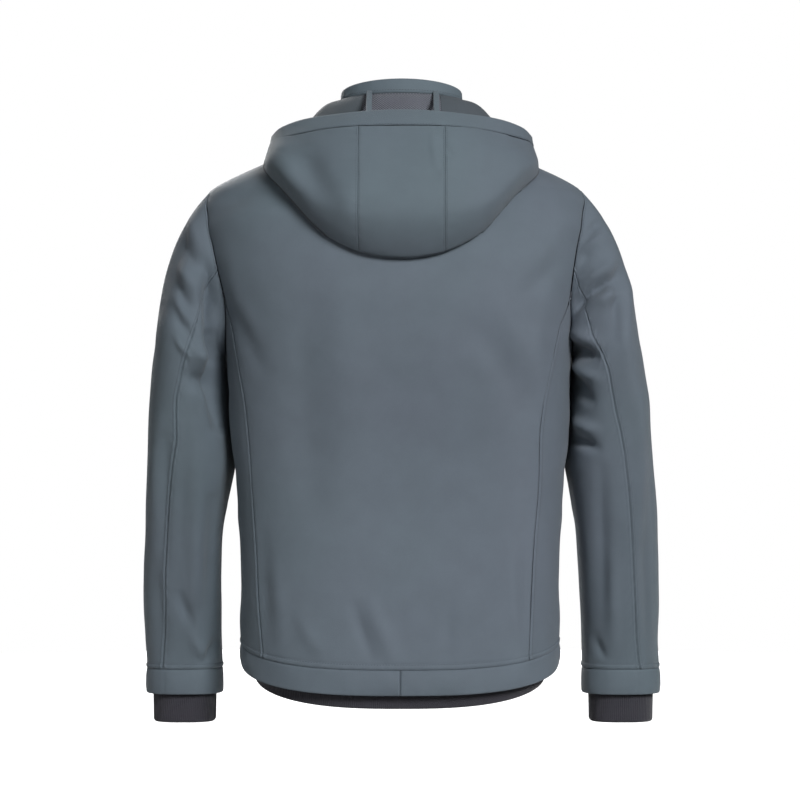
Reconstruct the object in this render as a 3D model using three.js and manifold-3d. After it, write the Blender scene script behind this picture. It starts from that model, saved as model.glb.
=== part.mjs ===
// Softshell jacket with a lowered three-panel hood, in its worn shape with no wearer.
// Millimetres, +Z up, the front faces -Y and the jacket's left side lies towards +X.
// The origin is the middle of the neck base, level with the points where neck and shoulders meet.
import * as THREE from 'three';
import Module from 'manifold-3d';
import { mergeVertices } from 'three/addons/utils/BufferGeometryUtils.js';

const wasm = await Module();
wasm.setup();

// Driving dimensions
const cloth = 2;             // wall of the softshell, knit bands and lining
const seamGap = 0.32;        // between two pieces that are sewn together
const zipHalf = 8;           // from the centre front to each front panel's edge
const tapeHalf = 20;         // half width of the zip tapes
const tapeWall = 1.2;
const armholeTop = 80;       // drops below the neck point
const armholeBottom = 285;
const armholeBack = 62;      // half depth of the armhole
const armholeFront = 60;
const hemSeam = 637;         // where the hem band is sewn on, at the side
const hemEdge = 665;
const cuffSeam = 676;
const cuffEdge = 708;
const innerCuffTop = 684;
const innerCuffEdge = 744;
const capShare = 0.38;       // share of the sleeve's length that is its cap
const collarSeam = 0.7;      // share of the collar's height where its upper band starts
const hoodSeam = 52;         // from the hood's middle to the seams of its centre panel
const meshSeam = 46;         // the same for the mesh of its lining
const hoodEnd = 152;         // the hood's front ends, in degrees round the neck from the back
const foldAt = 0.5;          // share of a hood section where the bottom fold lies
const brimAt = 0.875;        // share of a hood section where the brim is sewn on
const loopWidth = 7.5;
const loopWall = 1.4;
const loopGap = 2;           // between a loop's end and the inside of the brim
const loopPlaces = { left: 37.5, right: -44 };
const neckLean = -2;         // the collar's top and the hood lie this far to the right of the middle

const degree = Math.PI / 180;
const mix = (a, b, t) => a + (b - a) * t;
const clamp = (t) => Math.min(1, Math.max(0, t));
const ease = (t) => clamp(t) ** 2 * (3 - 2 * clamp(t));
const steps = (count) => Array.from({ length: count + 1 }, (_, i) => i / count);

// A table of sections: its first column is the key, and each other column reads as a smooth curve.
// An even table goes on as its own mirror image below its first key.
function sections(names, rows, even = false) {
  const keys = rows.map((row) => row[0]);
  const readers = {};
  names.forEach((name, column) => {
    const values = rows.map((row) => row[column]);
    const rise = keys.slice(1).map((key, i) => (values[i + 1] - values[i]) / (key - keys[i]));
    const slope = values.map((_, i) => {
      const before = rise[i - 1];
      const after = rise[i];
      if (before === undefined) return even ? 0 : after;
      if (after === undefined) return before;
      const steepest = 3 * Math.min(Math.abs(before), Math.abs(after));
      return before * after > 0 ? Math.sign(after) * Math.min(Math.abs(before + after) / 2, steepest) : 0;
    });
    readers[name] = (at) => {
      if (at <= keys[0]) return values[0];
      if (at >= keys.at(-1)) return values.at(-1);
      const i = keys.findIndex((key) => key > at) - 1;
      const span = keys[i + 1] - keys[i];
      const t = (at - keys[i]) / span;
      const bend = t * (1 - t) * span;
      return mix(values[i], values[i + 1], ease(t)) + bend * ((1 - t) * slope[i] - t * slope[i + 1]);
    };
  });
  return readers;
}

// Rings of the body, by drop below the neck point. Dip is how far the ring's back and front hang lower.
const body = sections(
  ['drop', 'half', 'back', 'front', 'power', 'backDip', 'frontDip', 'lean'],
  [
    [0, 72, 60, 74, 2.0, 6, 45, -2],
    [20, 106, 74, 82, 2.0, 6, 38, 0],
    [51, 169, 91.5, 93, 2.1, 4, 25, 3],
    [66, 201, 98, 99, 2.2, 3, 18, 4],
    [80, 226, 104, 104.5, 2.3, 2, 12, 5],
    [92, 236, 109, 109, 2.35, 2, 9, 5],
    [106, 240, 114, 114, 2.4, 1, 6, 6],
    [125, 240, 120, 121, 2.5, 1, 3, 6],
    [150, 236, 126, 128, 2.6, 0, 0, 6],
    [185, 228, 131, 133, 2.7, 0, 0, 5],
    [217, 220, 133, 135, 2.7, 0, 0, 3],
    [285, 213, 129, 133, 2.8, 0, 0, 1],
    [341, 211.6, 120, 129, 2.8, 0, 0, 1],
    [415, 206.5, 110, 126, 2.8, 0, 0, 0],
    [465, 201, 109, 125, 2.8, 0, 0, 0],
    [515, 198, 113, 125, 2.8, 0, 0, 0],
    [589, 196, 121, 126, 2.8, 8, 0, 0],
    [637, 196, 126, 127, 2.8, 27, 0, 0],
    [700, 195, 128, 128, 2.8, 31, 0, 0],
  ],
);

// Side-back seams: how far each lies from the jacket's middle
const sideSeams = sections(
  ['drop', 'left', 'right'],
  [
    [208, 216, 206],
    [250, 205.7, 194.6],
    [300, 196.4, 183.6],
    [341, 189, 174.7],
    [390, 184, 169.3],
    [440, 180.7, 168.7],
    [515, 175.7, 162.6],
    [590, 171.6, 158.4],
    [640, 165, 155.4],
  ],
);

// Rings of the sleeves: outer and inner edges of each side, half depth and the middle's Y
const sleeve = sections(
  ['drop', 'leftOuter', 'leftInner', 'rightOuter', 'rightInner', 'depth', 'middle'],
  [
    [280, 304.5, 218.5, 298.8, 217, 87, -5],
    [310, 307.2, 217.5, 303.6, 216, 83, -6],
    [341, 309.7, 216, 308.7, 214.5, 77, -7],
    [380, 312.3, 212.8, 311.2, 212.5, 70, -9],
    [415, 313.4, 210.5, 313.8, 210, 65, -12],
    [450, 315.2, 214.5, 317.4, 213.8, 62, -17],
    [480, 316.6, 219.2, 319.9, 217.1, 60, -22],
    [515, 318, 222.4, 321.6, 220.6, 58.5, -28],
    [550, 320, 223.6, 323.2, 223.3, 57, -35],
    [600, 320.8, 223.9, 324.4, 226.4, 53, -44],
    [640, 319.6, 224.3, 323.9, 228.3, 48, -51],
    [676, 318.2, 223.4, 326, 229, 44.5, -55],
    [708, 319, 222.8, 327, 228.8, 44.5, -58],
  ],
);

// The sleeve's back seam, in degrees round it: 0 outer edge, 90 back. Key is the share of its length.
const sleeveSeam = sections(
  ['along', 'left', 'right'],
  [
    [0, 90, 90],
    [0.2, 94, 104],
    [0.38, 86, 97],
    [0.45, 78, 90],
    [0.51, 78, 81],
    [0.57, 72, 75],
    [0.72, 69, 74],
    [0.87, 68, 72],
    [1, 60, 66],
  ],
);

// Largest folds of the sleeves: from one turn and share of the length to another; height below 0 is a trough
const sleeveFolds = {
  left: [
    { from: [42, 0.2], to: [88, 0.14], width: 17, height: -3 },
    { from: [30, 0.27], to: [78, 0.22], width: 17, height: -3.5 },
    { from: [55, 0.31], to: [84, 0.35], width: 15, height: -2.5 },
    { from: [104, 0.33], to: [128, 0.38], width: 18, height: 3.5 },
    { from: [118, 0.46], to: [160, 0.5], width: 18, height: -3 },
    { from: [250, 0.45], to: [310, 0.48], width: 20, height: -3.5 },
    { from: [240, 0.3], to: [290, 0.26], width: 20, height: -3 },
  ],
  right: [
    { from: [94, 0.1], to: [48, 0.17], width: 13, height: -4 },
    { from: [96, 0.16], to: [52, 0.22], width: 15, height: 2.5 },
    { from: [116, 0.29], to: [155, 0.27], width: 16, height: -4 },
    { from: [112, 0.43], to: [160, 0.38], width: 18, height: -3.5 },
    { from: [112, 0.5], to: [160, 0.49], width: 18, height: 3.5 },
    { from: [42, 0.25], to: [72, 0.39], width: 20, height: -2.5 },
    { from: [245, 0.42], to: [305, 0.46], width: 20, height: -3.5 },
    { from: [240, 0.28], to: [292, 0.24], width: 20, height: -3 },
  ],
};

// Sections of the hood round the neck, in degrees from the back. R is out from the neck's axis, Z is up.
// A section runs from the collar over the body to the bottom fold, and up the outside to the brim's edge.
const hood = sections(
  [
    'around', 'flareR', 'flareZ', 'restR', 'restZ', 'lowerR', 'lowerZ', 'foldR', 'foldZ',
    'swellR', 'swellZ', 'outR', 'outZ', 'seamR', 'seamZ', 'brimR', 'brimZ',
  ],
  [
    [0, 70, 14, 98, -60, 129, -140, 150, -172, 170, -140, 157, -62, 131, -13, 110, 8.7],
    [35, 76, 14, 108, -50, 141, -120, 164.7, -147, 182, -118, 168, -52, 144, -15, 126, 4.5],
    [57, 86, 17, 122, -30, 156, -66, 179, -88, 186, -66, 177, -38, 161, -19, 148, -1.8],
    [68, 91, 18.5, 124, -21, 154, -44, 175, -66, 180.5, -53, 175, -35, 165, -21.5, 156.5, -9],
    [78, 96, 20, 125, -12, 150, -25, 168, -50, 174.5, -40, 171.5, -29, 167, -23.5, 161, -17],
    [100, 97, 16, 120, -8, 138, -21, 154, -43, 161, -33, 159, -26, 154, -21, 148, -17],
    [125, 90, 2, 99, -19, 107, -33, 121, -52, 131, -42, 130, -34, 128, -28, 124, -21],
    [152, 82, -13, 86, -24, 90, -34, 99, -47, 109, -40, 108, -34, 105, -29, 101, -24],
  ],
  true,
);

// How high up the collar the hood is sewn on, by the same degrees
const hoodRoot = sections(['around', 'share'], [[0, 0.65], [95, 0.64], [130, 0.45], [152, 0.25]]);

// A point of the body's surface: angle 0 is centre front, 90 the left side, 180 centre back
function bodyPoint(angle, drop) {
  const across = Math.sin(angle * degree);
  const facing = -Math.cos(angle * degree);
  const depth = facing > 0 ? body.back(drop) : body.front(drop);
  const dip = facing > 0 ? body.backDip(drop) : body.frontDip(drop);
  const power = body.power(drop);
  const sum = Math.abs(across / body.half(drop)) ** power + Math.abs(facing / depth) ** power;
  const radius = sum ** (-1 / power);
  const hang = dip * Math.abs((radius * facing) / depth) ** 1.5;
  return new THREE.Vector3(radius * across + body.lean(drop), radius * facing, -drop - hang);
}

// The unit vector into the cloth of a surface at a place, from two small steps on it
function inwardOf(surface, a, b, stepA, stepB, sign) {
  const here = surface(a, b);
  const acrossStep = surface(a + stepA, b).sub(here);
  const downStep = surface(a, b + stepB).sub(here);
  return acrossStep.cross(downStep).normalize().multiplyScalar(sign * Math.sign(stepA * stepB));
}

const bodyInward = (angle, drop) => inwardOf(bodyPoint, angle, drop, 0.5, 1, 1);
const onSide = (side, angle) => (side > 0 ? angle : 360 - angle);

// The angle on the left half where a ring has a given Y, or a given distance from its middle
function angleAtDepth(drop, y) {
  const depth = y > 0 ? body.back(drop) : body.front(drop);
  const power = body.power(drop);
  const x = body.half(drop) * (1 - Math.abs(y / depth) ** power) ** (1 / power);
  return Math.atan2(x, -y) / degree;
}

function angleAtWidth(drop, x, atBack) {
  const depth = atBack ? body.back(drop) : body.front(drop);
  const power = body.power(drop);
  const y = depth * (1 - (x / body.half(drop)) ** power) ** (1 / power);
  return Math.atan2(x, atBack ? -y : y) / degree;
}

// The armhole by its turn: 0 at the shoulder tip, 90 at the back, 180 at the underarm, 270 in front
const armholeMiddle = (armholeTop + armholeBottom) / 2;
const armholeReach = (armholeBottom - armholeTop) / 2;
const armholeDrop = (turn) => armholeMiddle - armholeReach * Math.cos(turn * degree);

function armholeAngle(turn) {
  const swing = Math.sin(turn * degree);
  return angleAtDepth(armholeDrop(turn), swing * (swing > 0 ? armholeBack : armholeFront));
}

// Where the side seams leave the armhole, and the levels at which the panels have a row
const joinTurn = 104.7;
const joinDrop = armholeDrop(joinTurn);
const shoulderLevels = [0, 10, 22, 36, 51, 66];
const armholeTurns = [0, 18, 36, 54, 72, 90, joinTurn];
const sideLevels = [joinDrop, 250, 285, 320, 360, 400, 440, 480, 515, 550, 589, 613, hemSeam];
const sideColumns = 6;
const backColumns = 16;
const frontColumns = 10;

function sideSeamAngle(side, drop, atBack) {
  const start = armholeAngle(atBack ? joinTurn : 360 - joinTurn);
  const out = (side > 0 ? sideSeams.left(drop) : sideSeams.right(drop)) - side * body.lean(drop);
  return mix(start, angleAtWidth(drop, out, atBack), ease((drop - joinDrop) / 45));
}

// An angle moved along its ring by some millimetres
function nudge(angle, drop, distance) {
  const point = bodyPoint(angle, drop);
  return angle + distance / Math.hypot(point.x - body.lean(drop), point.y) / degree;
}

// Rows of a back or front panel's side edge: the level and the angle there, on the left half
function edgeRows(side, atBack) {
  const way = atBack ? seamGap / 2 : -seamGap / 2;
  const ridge = [...shoulderLevels, armholeTop].map((drop) => [drop, nudge(90, drop, way)]);
  const hole = armholeTurns.slice(1).map((turn) => {
    const place = atBack ? turn : 360 - turn;
    const atJoin = turn === joinTurn ? way : 0;
    return [armholeDrop(turn), nudge(armholeAngle(place), armholeDrop(turn), atJoin)];
  });
  const seam = sideLevels.slice(1).map((drop) => [drop, nudge(sideSeamAngle(side, drop, atBack), drop, way)]);
  return [...ridge, ...hole, ...seam];
}

const frontEdge = (drop) => angleAtWidth(drop, zipHalf, false);

// Closed cloth: rows of outer points, and the same rows moved in by the wall
function clothSolid(outer, inward, wall, ring = false) {
  const rows = outer.length - 1;
  const columns = outer[0].length;
  const spans = ring ? columns : columns - 1;
  const positions = [];
  outer.forEach((row) => row.forEach((point) => positions.push(...point.toArray())));
  outer.forEach((row, j) => row.forEach((point, i) => {
    positions.push(...point.clone().addScaledVector(inward[j][i], wall).toArray());
  }));
  const at = (layer, j, i) => (layer * (rows + 1) + j) * columns + (i % columns);
  const faces = [];
  const quad = (a, b, c, d) => faces.push(a, b, c, a, c, d);
  for (let i = 0; i < spans; i += 1) {
    for (let j = 0; j < rows; j += 1) {
      quad(at(0, j, i), at(0, j, i + 1), at(0, j + 1, i + 1), at(0, j + 1, i));
      quad(at(1, j, i), at(1, j + 1, i), at(1, j + 1, i + 1), at(1, j, i + 1));
    }
    quad(at(0, 0, i + 1), at(0, 0, i), at(1, 0, i), at(1, 0, i + 1));
    quad(at(0, rows, i), at(0, rows, i + 1), at(1, rows, i + 1), at(1, rows, i));
  }
  for (let j = 0; j < rows && !ring; j += 1) {
    quad(at(0, j, 0), at(0, j + 1, 0), at(1, j + 1, 0), at(1, j, 0));
    quad(at(0, j + 1, spans), at(0, j, spans), at(1, j, spans), at(1, j + 1, spans));
  }
  const geometry = new THREE.BufferGeometry();
  geometry.setAttribute('position', new THREE.Float32BufferAttribute(positions, 3));
  geometry.setIndex(signedVolume(positions, faces) < 0 ? faces.reverse() : faces);
  geometry.computeVertexNormals();
  return geometry;
}

function signedVolume(positions, faces) {
  const corner = (k) => new THREE.Vector3().fromArray(positions, faces[k] * 3);
  let sum = 0;
  for (let k = 0; k < faces.length; k += 3) sum += corner(k).dot(corner(k + 1).cross(corner(k + 2)));
  return sum;
}

// Cloth on a surface from rows of its two parameters
function clothOn(surface, inward, places, wall = cloth, ring = false) {
  const outer = places.map((row) => row.map(([a, b]) => surface(a, b)));
  const into = places.map((row) => row.map(([a, b]) => inward(a, b)));
  return clothSolid(outer, into, wall, ring);
}

const finish = (color, roughness, metalness = 0) => new THREE.MeshStandardMaterial({
  color: new THREE.Color(...color), roughness, metalness,
});
const materials = {
  shell: finish([0.122, 0.147, 0.172], 0.72),
  knit: finish([0.035, 0.035, 0.043], 0.9),
  lining: finish([0.12, 0.14, 0.165], 0.9),
  dark: finish([0.075, 0.09, 0.105], 0.85),
  tape: finish([0.045, 0.05, 0.058], 0.8),
  metal: finish([0.1, 0.11, 0.12], 0.4, 0.8),
};

const jacket = new THREE.Group();
const shellShares = steps(9).map((t) => mix(foldAt + 0.004, brimAt, t));
const liningShares = steps(8).map((t) => mix(0, foldAt - 0.004, t));

function addPiece(name, geometry, material) {
  const mesh = new THREE.Mesh(geometry, material);
  mesh.name = name;
  jacket.add(mesh);
}

// Body panels
function backPanel() {
  const left = edgeRows(1, true);
  const right = edgeRows(-1, true);
  const places = left.map(([drop, start], j) => (
    steps(backColumns).map((u) => [mix(start, 360 - right[j][1], u), drop])));
  return clothOn(bodyPoint, bodyInward, places);
}

function frontPanel(side) {
  const places = edgeRows(side, false).map(([drop, start]) => (
    steps(frontColumns).map((u) => [onSide(side, mix(start, frontEdge(drop), u)), drop])));
  return clothOn(bodyPoint, bodyInward, places);
}

function sidePanel(side) {
  const places = sideLevels.map((level) => steps(sideColumns).map((u) => {
    const turn = mix(joinTurn, 360 - joinTurn, u);
    const top = armholeDrop(turn);
    const fade = clamp((level - joinDrop) / 152);
    const drop = level + (top - joinDrop) * (1 - fade) ** 2;
    const edges = (at) => [
      nudge(sideSeamAngle(side, at, true), at, -seamGap / 2),
      nudge(sideSeamAngle(side, at, false), at, seamGap / 2),
    ];
    const [backTop, frontTop] = edges(top);
    const share = (armholeAngle(turn) - backTop) / (frontTop - backTop);
    const held = u === 0 || u === 1 ? u : mix(share, u, ease(fade * 1.6));
    const [back, front] = edges(drop);
    return [onSide(side, mix(back, front, held)), drop];
  }));
  return clothOn(bodyPoint, bodyInward, places);
}

// Sleeves: turn goes round (0 outer edge, 90 back, 180 inner edge), along runs from armhole to cuff
const sleeveTilt = 25;
const sleeveStart = 310;
const turnWidth = 1.15;       // millimetres of cloth for each degree of turn
const sleeveLength = 640;
const sleeveRows = 18;
const capGap = 0.45;          // between the armhole and the sleeve's first row
const underarmGap = 0.7;      // how far that row stands off the body at the underarm

function sleeveRing(side, turn, share) {
  const drop = mix(sleeveStart, cuffSeam, share) - sleeveTilt * Math.cos(turn * degree) * (1 - share) ** 1.5;
  return tubePoint(side, turn, drop);
}

function tubePoint(side, turn, drop) {
  const outer = side > 0 ? sleeve.leftOuter(drop) : sleeve.rightOuter(drop);
  const inner = side > 0 ? sleeve.leftInner(drop) : sleeve.rightInner(drop);
  const x = (outer + inner) / 2 + ((outer - inner) / 2) * Math.cos(turn * degree);
  const y = sleeve.middle(drop) + sleeve.depth(drop) * Math.sin(turn * degree);
  return new THREE.Vector3(side * x, y, -drop);
}

function sleeveBase(side, turn, along) {
  if (along >= capShare) return sleeveRing(side, turn, (along - capShare) / (1 - capShare));
  const rise = (1 + Math.cos(turn * degree)) / 2;
  const leave = new THREE.Vector3(
    side * mix(0.15, 0.72, rise),
    0.35 * Math.sin(turn * degree),
    -mix(0.98, 0.69, rise),
  ).normalize();
  const angle = onSide(side, armholeAngle(turn));
  const drop = armholeDrop(turn);
  const start = bodyPoint(angle, drop)
    .addScaledVector(leave, capGap)
    .addScaledVector(bodyInward(angle, drop), -underarmGap * (1 - rise));
  const end = sleeveRing(side, turn, 0);
  const arrive = sleeveRing(side, turn, 0.02).sub(end).normalize();
  const reach = start.distanceTo(end) * 1.05;
  const t = along / capShare;
  return start.clone().multiplyScalar((1 + 2 * t) * (1 - t) ** 2)
    .addScaledVector(leave, reach * t * (1 - t) ** 2)
    .addScaledVector(end, t * t * (3 - 2 * t))
    .addScaledVector(arrive, reach * t * t * (t - 1));
}

// Height of the folds at a place, from the distance to each fold's line
function foldHeight(folds, turn, along) {
  const turned = ((turn % 360) + 360) % 360;
  const calm = ease(along / 0.08) * ease((1 - along) / 0.08);
  return calm * folds.reduce((sum, { from, to, width, height }) => {
    const line = new THREE.Vector2((to[0] - from[0]) * turnWidth, (to[1] - from[1]) * sleeveLength);
    const point = new THREE.Vector2((turned - from[0]) * turnWidth, (along - from[1]) * sleeveLength);
    const share = clamp(point.dot(line) / line.lengthSq());
    const away = point.addScaledVector(line, -share).length() / width;
    return sum + height * Math.exp(-away * away) * (0.45 + 0.55 * Math.sin(Math.PI * share));
  }, 0);
}

function sleevePoint(side, turn, along) {
  const base = (a, b) => sleeveBase(side, a, b);
  const into = inwardOf(base, turn, along, 1, along > 0.99 ? -0.005 : 0.005, side);
  const folds = side > 0 ? sleeveFolds.left : sleeveFolds.right;
  return base(turn, along).addScaledVector(into, -foldHeight(folds, turn, along));
}

// The cloth's inward direction: at the shoulder end it leans to the body's own, so the walls don't cross
function sleeveInward(side, turn, along) {
  const surface = (a, b) => sleevePoint(side, a, b);
  const own = inwardOf(surface, turn, along, 1, along > 0.99 ? -0.005 : 0.005, side);
  if (along > 0) return own;
  const rise = (1 + Math.cos(turn * degree)) / 2;
  return own.lerp(bodyInward(onSide(side, armholeAngle(turn)), armholeDrop(turn)), rise).normalize();
}

const topTurns = [...armholeTurns.slice(0, -1).reverse(), ...armholeTurns.slice(1).map((turn) => -turn)];
const underTurns = [90, ...steps(sideColumns).map((u) => mix(joinTurn, 360 - joinTurn, u))];

function sleevePanel(side, turns, isTop) {
  const places = steps(sleeveRows).map((row) => {
    const along = row ** 1.15;
    const half = seamGap / 2 / turnWidth;
    const back = side > 0 ? sleeveSeam.left(along) : sleeveSeam.right(along);
    const start = isTop ? back - half : back + half;
    const end = isTop ? -joinTurn + half : 360 - joinTurn - half;
    return turns.map((turn, i) => {
      const even = mix(start, end, i / (turns.length - 1));
      const first = i === 0 ? start : turn;
      const exact = i === turns.length - 1 ? end : first;
      return [mix(exact, even, ease(along / 0.4)), along];
    });
  });
  return clothOn((a, b) => sleevePoint(side, a, b), (a, b) => sleeveInward(side, a, b), places);
}

// A ring of cloth round the wrist, from drops and how much narrower each is than the sleeve's end
const cuffColumns = 24;
const cuffBandRows = [[cuffSeam + seamGap, 0], [(cuffSeam + cuffEdge) / 2, 0], [cuffEdge, 0]];
const knitCuffRows = [
  [innerCuffTop, cloth + 0.4],
  [cuffEdge - 1, 8.6],
  [726, 9],
  [innerCuffEdge - 3, 9.2],
  [innerCuffEdge, 10.6],
];

function cuffRing(side, rows) {
  const outer = rows.map(([drop, narrow]) => steps(cuffColumns).slice(0, -1).map((u) => {
    const point = tubePoint(side, u * 360, drop);
    const middle = tubePoint(side, 90, drop).add(tubePoint(side, 270, drop)).multiplyScalar(0.5);
    const out = point.clone().sub(middle).setZ(0).normalize();
    return point.addScaledVector(out, -narrow);
  }));
  const inward = rows.map(([drop], j) => outer[j].map((point) => {
    const middle = tubePoint(side, 90, drop).add(tubePoint(side, 270, drop)).multiplyScalar(0.5);
    return middle.sub(point).setZ(0).normalize();
  }));
  return clothSolid(outer, inward, cloth, true);
}

// Collar: share 0 is the neck seam, 1 the top edge. Its top is an ellipse, higher at the back
const collarTop = { half: 73, back: 50, front: 62, level: 39.5, backRise: 12.8, frontRise: -17.5, swell: 2 };

function collarPoint(angle, share) {
  const foot = bodyPoint(angle, 0);
  const across = Math.sin(angle * degree);
  const facing = -Math.cos(angle * degree);
  const depth = facing > 0 ? collarTop.back : collarTop.front;
  const radius = ((across / collarTop.half) ** 2 + (facing / depth) ** 2) ** -0.5;
  const y = radius * facing;
  const rise = (facing > 0 ? collarTop.backRise : collarTop.frontRise) * Math.abs(y / depth) ** 1.2;
  const top = new THREE.Vector3(radius * across + neckLean, y, collarTop.level + rise);
  const swell = collarTop.swell * Math.sin(Math.PI * share);
  return foot.lerp(top, share).add(new THREE.Vector3(across, facing, 0).multiplyScalar(swell));
}

const collarInward = (angle, share) => (
  inwardOf(collarPoint, angle, share, 0.5, share > 0.98 ? -0.02 : 0.02, -1));

const neckAngles = [
  ...steps(frontColumns).map((u) => mix(frontEdge(0), 90, u)).slice(0, -1),
  ...steps(backColumns).map((u) => mix(90, 270, u)),
  ...steps(frontColumns).map((u) => mix(270, 360 - frontEdge(0), u)).slice(1),
];

function collarBand(shares) {
  return clothOn(collarPoint, collarInward, shares.map((share) => neckAngles.map((angle) => [angle, share])));
}

// Hem bands: half a ring each, from the centre back to the zip
function hemAngles(side, drop) {
  const back = sideSeamAngle(side, hemSeam, true);
  const front = sideSeamAngle(side, hemSeam, false);
  const gap = nudge(180, drop, -seamGap / 2);
  return [
    ...steps(backColumns / 2).map((u) => mix(gap, back, u)).slice(0, -1),
    ...steps(sideColumns).map((u) => mix(back, front, u)),
    ...steps(frontColumns).map((u) => mix(front, frontEdge(drop), u)).slice(1),
  ];
}

function hemBand(side) {
  const drops = [hemSeam + seamGap, (hemSeam + hemEdge) / 2, hemEdge];
  const places = drops.map((drop) => hemAngles(side, drop).map((angle) => [onSide(side, angle), drop]));
  return clothOn(bodyPoint, bodyInward, places);
}

// The inner hem band starts on the hem band's inside and hangs below it, drawn in
const innerHem = {
  half: 179, back: 113, front: 112, power: 2.7, side: 681, backDip: 31, frontDip: -6, draw: 3,
};

function innerHemPoint(angle, share) {
  const drop = (hemSeam + hemEdge) / 2;
  const top = bodyPoint(angle, drop).addScaledVector(bodyInward(angle, drop), cloth + 0.35);
  const across = Math.sin(angle * degree);
  const facing = -Math.cos(angle * degree);
  const depth = facing > 0 ? innerHem.back : innerHem.front;
  const { power } = innerHem;
  const sum = Math.abs(across / innerHem.half) ** power + Math.abs(facing / depth) ** power;
  const radius = sum ** (-1 / power);
  const dip = facing > 0 ? innerHem.backDip : innerHem.frontDip;
  const hang = dip * Math.abs((radius * facing) / depth) ** 1.5;
  const bottom = new THREE.Vector3(radius * across, radius * facing, -innerHem.side - hang);
  const drawn = -innerHem.draw * Math.sin(Math.PI * share);
  return top.lerp(bottom, share).add(new THREE.Vector3(across, facing, 0).multiplyScalar(drawn));
}

function innerHemBand(side) {
  const drop = hemEdge;
  const clear = angleAtWidth(drop, tapeHalf + 4, false);
  const angles = hemAngles(side, drop).map((angle) => Math.max(angle, clear));
  const kept = angles.filter((angle, i) => i === 0 || angle < angles[i - 1]);
  const places = [0, 0.5, 1].map((share) => kept.map((angle) => [onSide(side, angle), share]));
  const inward = (angle, share) => (
    inwardOf(innerHemPoint, angle, share, 0.5, share > 0.9 ? -0.05 : 0.05, 1));
  return clothOn(innerHemPoint, inward, places);
}

// Hood: around in degrees from the back, share 0 at the collar and 1 at the brim's edge
const rootGap = 1.3;         // between the collar and the lining sewn to it

function hoodSection(around, share) {
  const turn = Math.abs(around);
  const root = collarPoint(180 - turn, hoodRoot.share(turn));
  const knots = [[Math.hypot(root.x - neckLean, root.y) + rootGap, root.z]];
  for (const name of ['flare', 'rest', 'lower', 'fold', 'swell', 'out', 'seam', 'brim']) {
    knots.push([hood[`${name}R`](turn), hood[`${name}Z`](turn)]);
  }
  const curve = new THREE.SplineCurve(knots.map(([r, z]) => new THREE.Vector2(r, z)));
  return curve.getPoint(share);
}

// Keeps a point a little outside the body's surface
function clearOfBody(point, clearance) {
  for (let pass = 0; pass < 4; pass += 1) {
    let drop = -point.z;
    const angle = () => (Math.atan2(point.x - body.lean(drop), -point.y) / degree + 360) % 360;
    for (let k = 0; k < 6; k += 1) drop -= point.z - bodyPoint(angle(), Math.max(drop, 0)).z;
    if (drop < 0) return point;
    const skin = bodyPoint(angle(), drop);
    const into = bodyInward(angle(), drop);
    const away = -skin.sub(point).negate().dot(into);
    if (away < clearance) point.addScaledVector(into, away - clearance);
  }
  return point;
}

const hoodClearance = 4;     // between the hood's lining and the body
const hoodColumns = { centre: 6, side: 12 };

function hoodPoint(around, share) {
  const at = hoodSection(around, share);
  const turn = around * degree;
  const point = new THREE.Vector3(at.x * Math.sin(turn) + neckLean, at.x * Math.cos(turn), at.y);
  return share > 0.02 && share < 0.62 ? clearOfBody(point, hoodClearance) : point;
}

const hoodInward = (around, share) => (
  inwardOf(hoodPoint, around, share, 1, share > 0.97 ? -0.01 : 0.01, 1));

// The turn round the neck at which a section lies some distance from the hood's middle
function aroundAt(x, share) {
  let around = 25;
  for (let k = 0; k < 8; k += 1) around = Math.asin(clamp(x / hoodSection(around, share).x)) / degree;
  return around;
}

// Turns of a row of the hood: from one front end over the two seams to the other
function hoodTurns(half, share, gap) {
  const inner = aroundAt(half - gap / 2, share);
  const outer = aroundAt(half + gap / 2, share);
  return {
    centre: steps(hoodColumns.centre).map((u) => mix(inner, -inner, u)),
    left: steps(hoodColumns.side).map((u) => mix(hoodEnd, outer, u)),
    right: steps(hoodColumns.side).map((u) => mix(-outer, -hoodEnd, u)),
  };
}

const shellHalf = () => hoodSeam;
const liningHalf = (share) => mix(meshSeam, hoodSeam, share / foldAt);

function hoodPanel(part, half, shares) {
  const places = shares.map((share) => (
    hoodTurns(half(share), share, seamGap)[part].map((around) => [around, share])));
  return clothOn(hoodPoint, hoodInward, places);
}

function hoodBrim() {
  const places = [brimAt + 0.004, 0.94, 1].map((share) => {
    const { left, centre, right } = hoodTurns(hoodSeam, share, 0);
    return [...left.slice(0, -1), ...centre, ...right.slice(1)].map((around) => [around, share]);
  });
  return clothOn(hoodPoint, hoodInward, places);
}

// A loop from the collar's seam to the brim's edge, over the lining
function hoodLoop(x) {
  const away = x - neckLean;
  const brimAround = aroundAt(away, 1);
  const end = hoodPoint(brimAround, 1).addScaledVector(hoodInward(brimAround, 1), cloth + loopGap);
  const start = collarPoint(180 - Math.asin(away / 62) / degree, collarSeam + 0.04);
  start.y += 2;
  const wide = new THREE.Vector3(loopWidth / 2, 0, 0);
  const outer = steps(4).map((t) => {
    const point = start.clone().lerp(end, t).setX(x);
    point.z += 1.5 * Math.sin(Math.PI * t);
    return [point.clone().sub(wide), point.clone().add(wide)];
  });
  const down = new THREE.Vector3(0, -0.45, -0.89);
  return clothSolid(outer, outer.map((row) => row.map(() => down)), loopWall);
}

// Front zip: tapes behind the front edges, from the hem up to the collar's top
const tapeSink = cloth + 0.4;
const frontLevels = edgeRows(1, false).map(([drop]) => drop);

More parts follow.
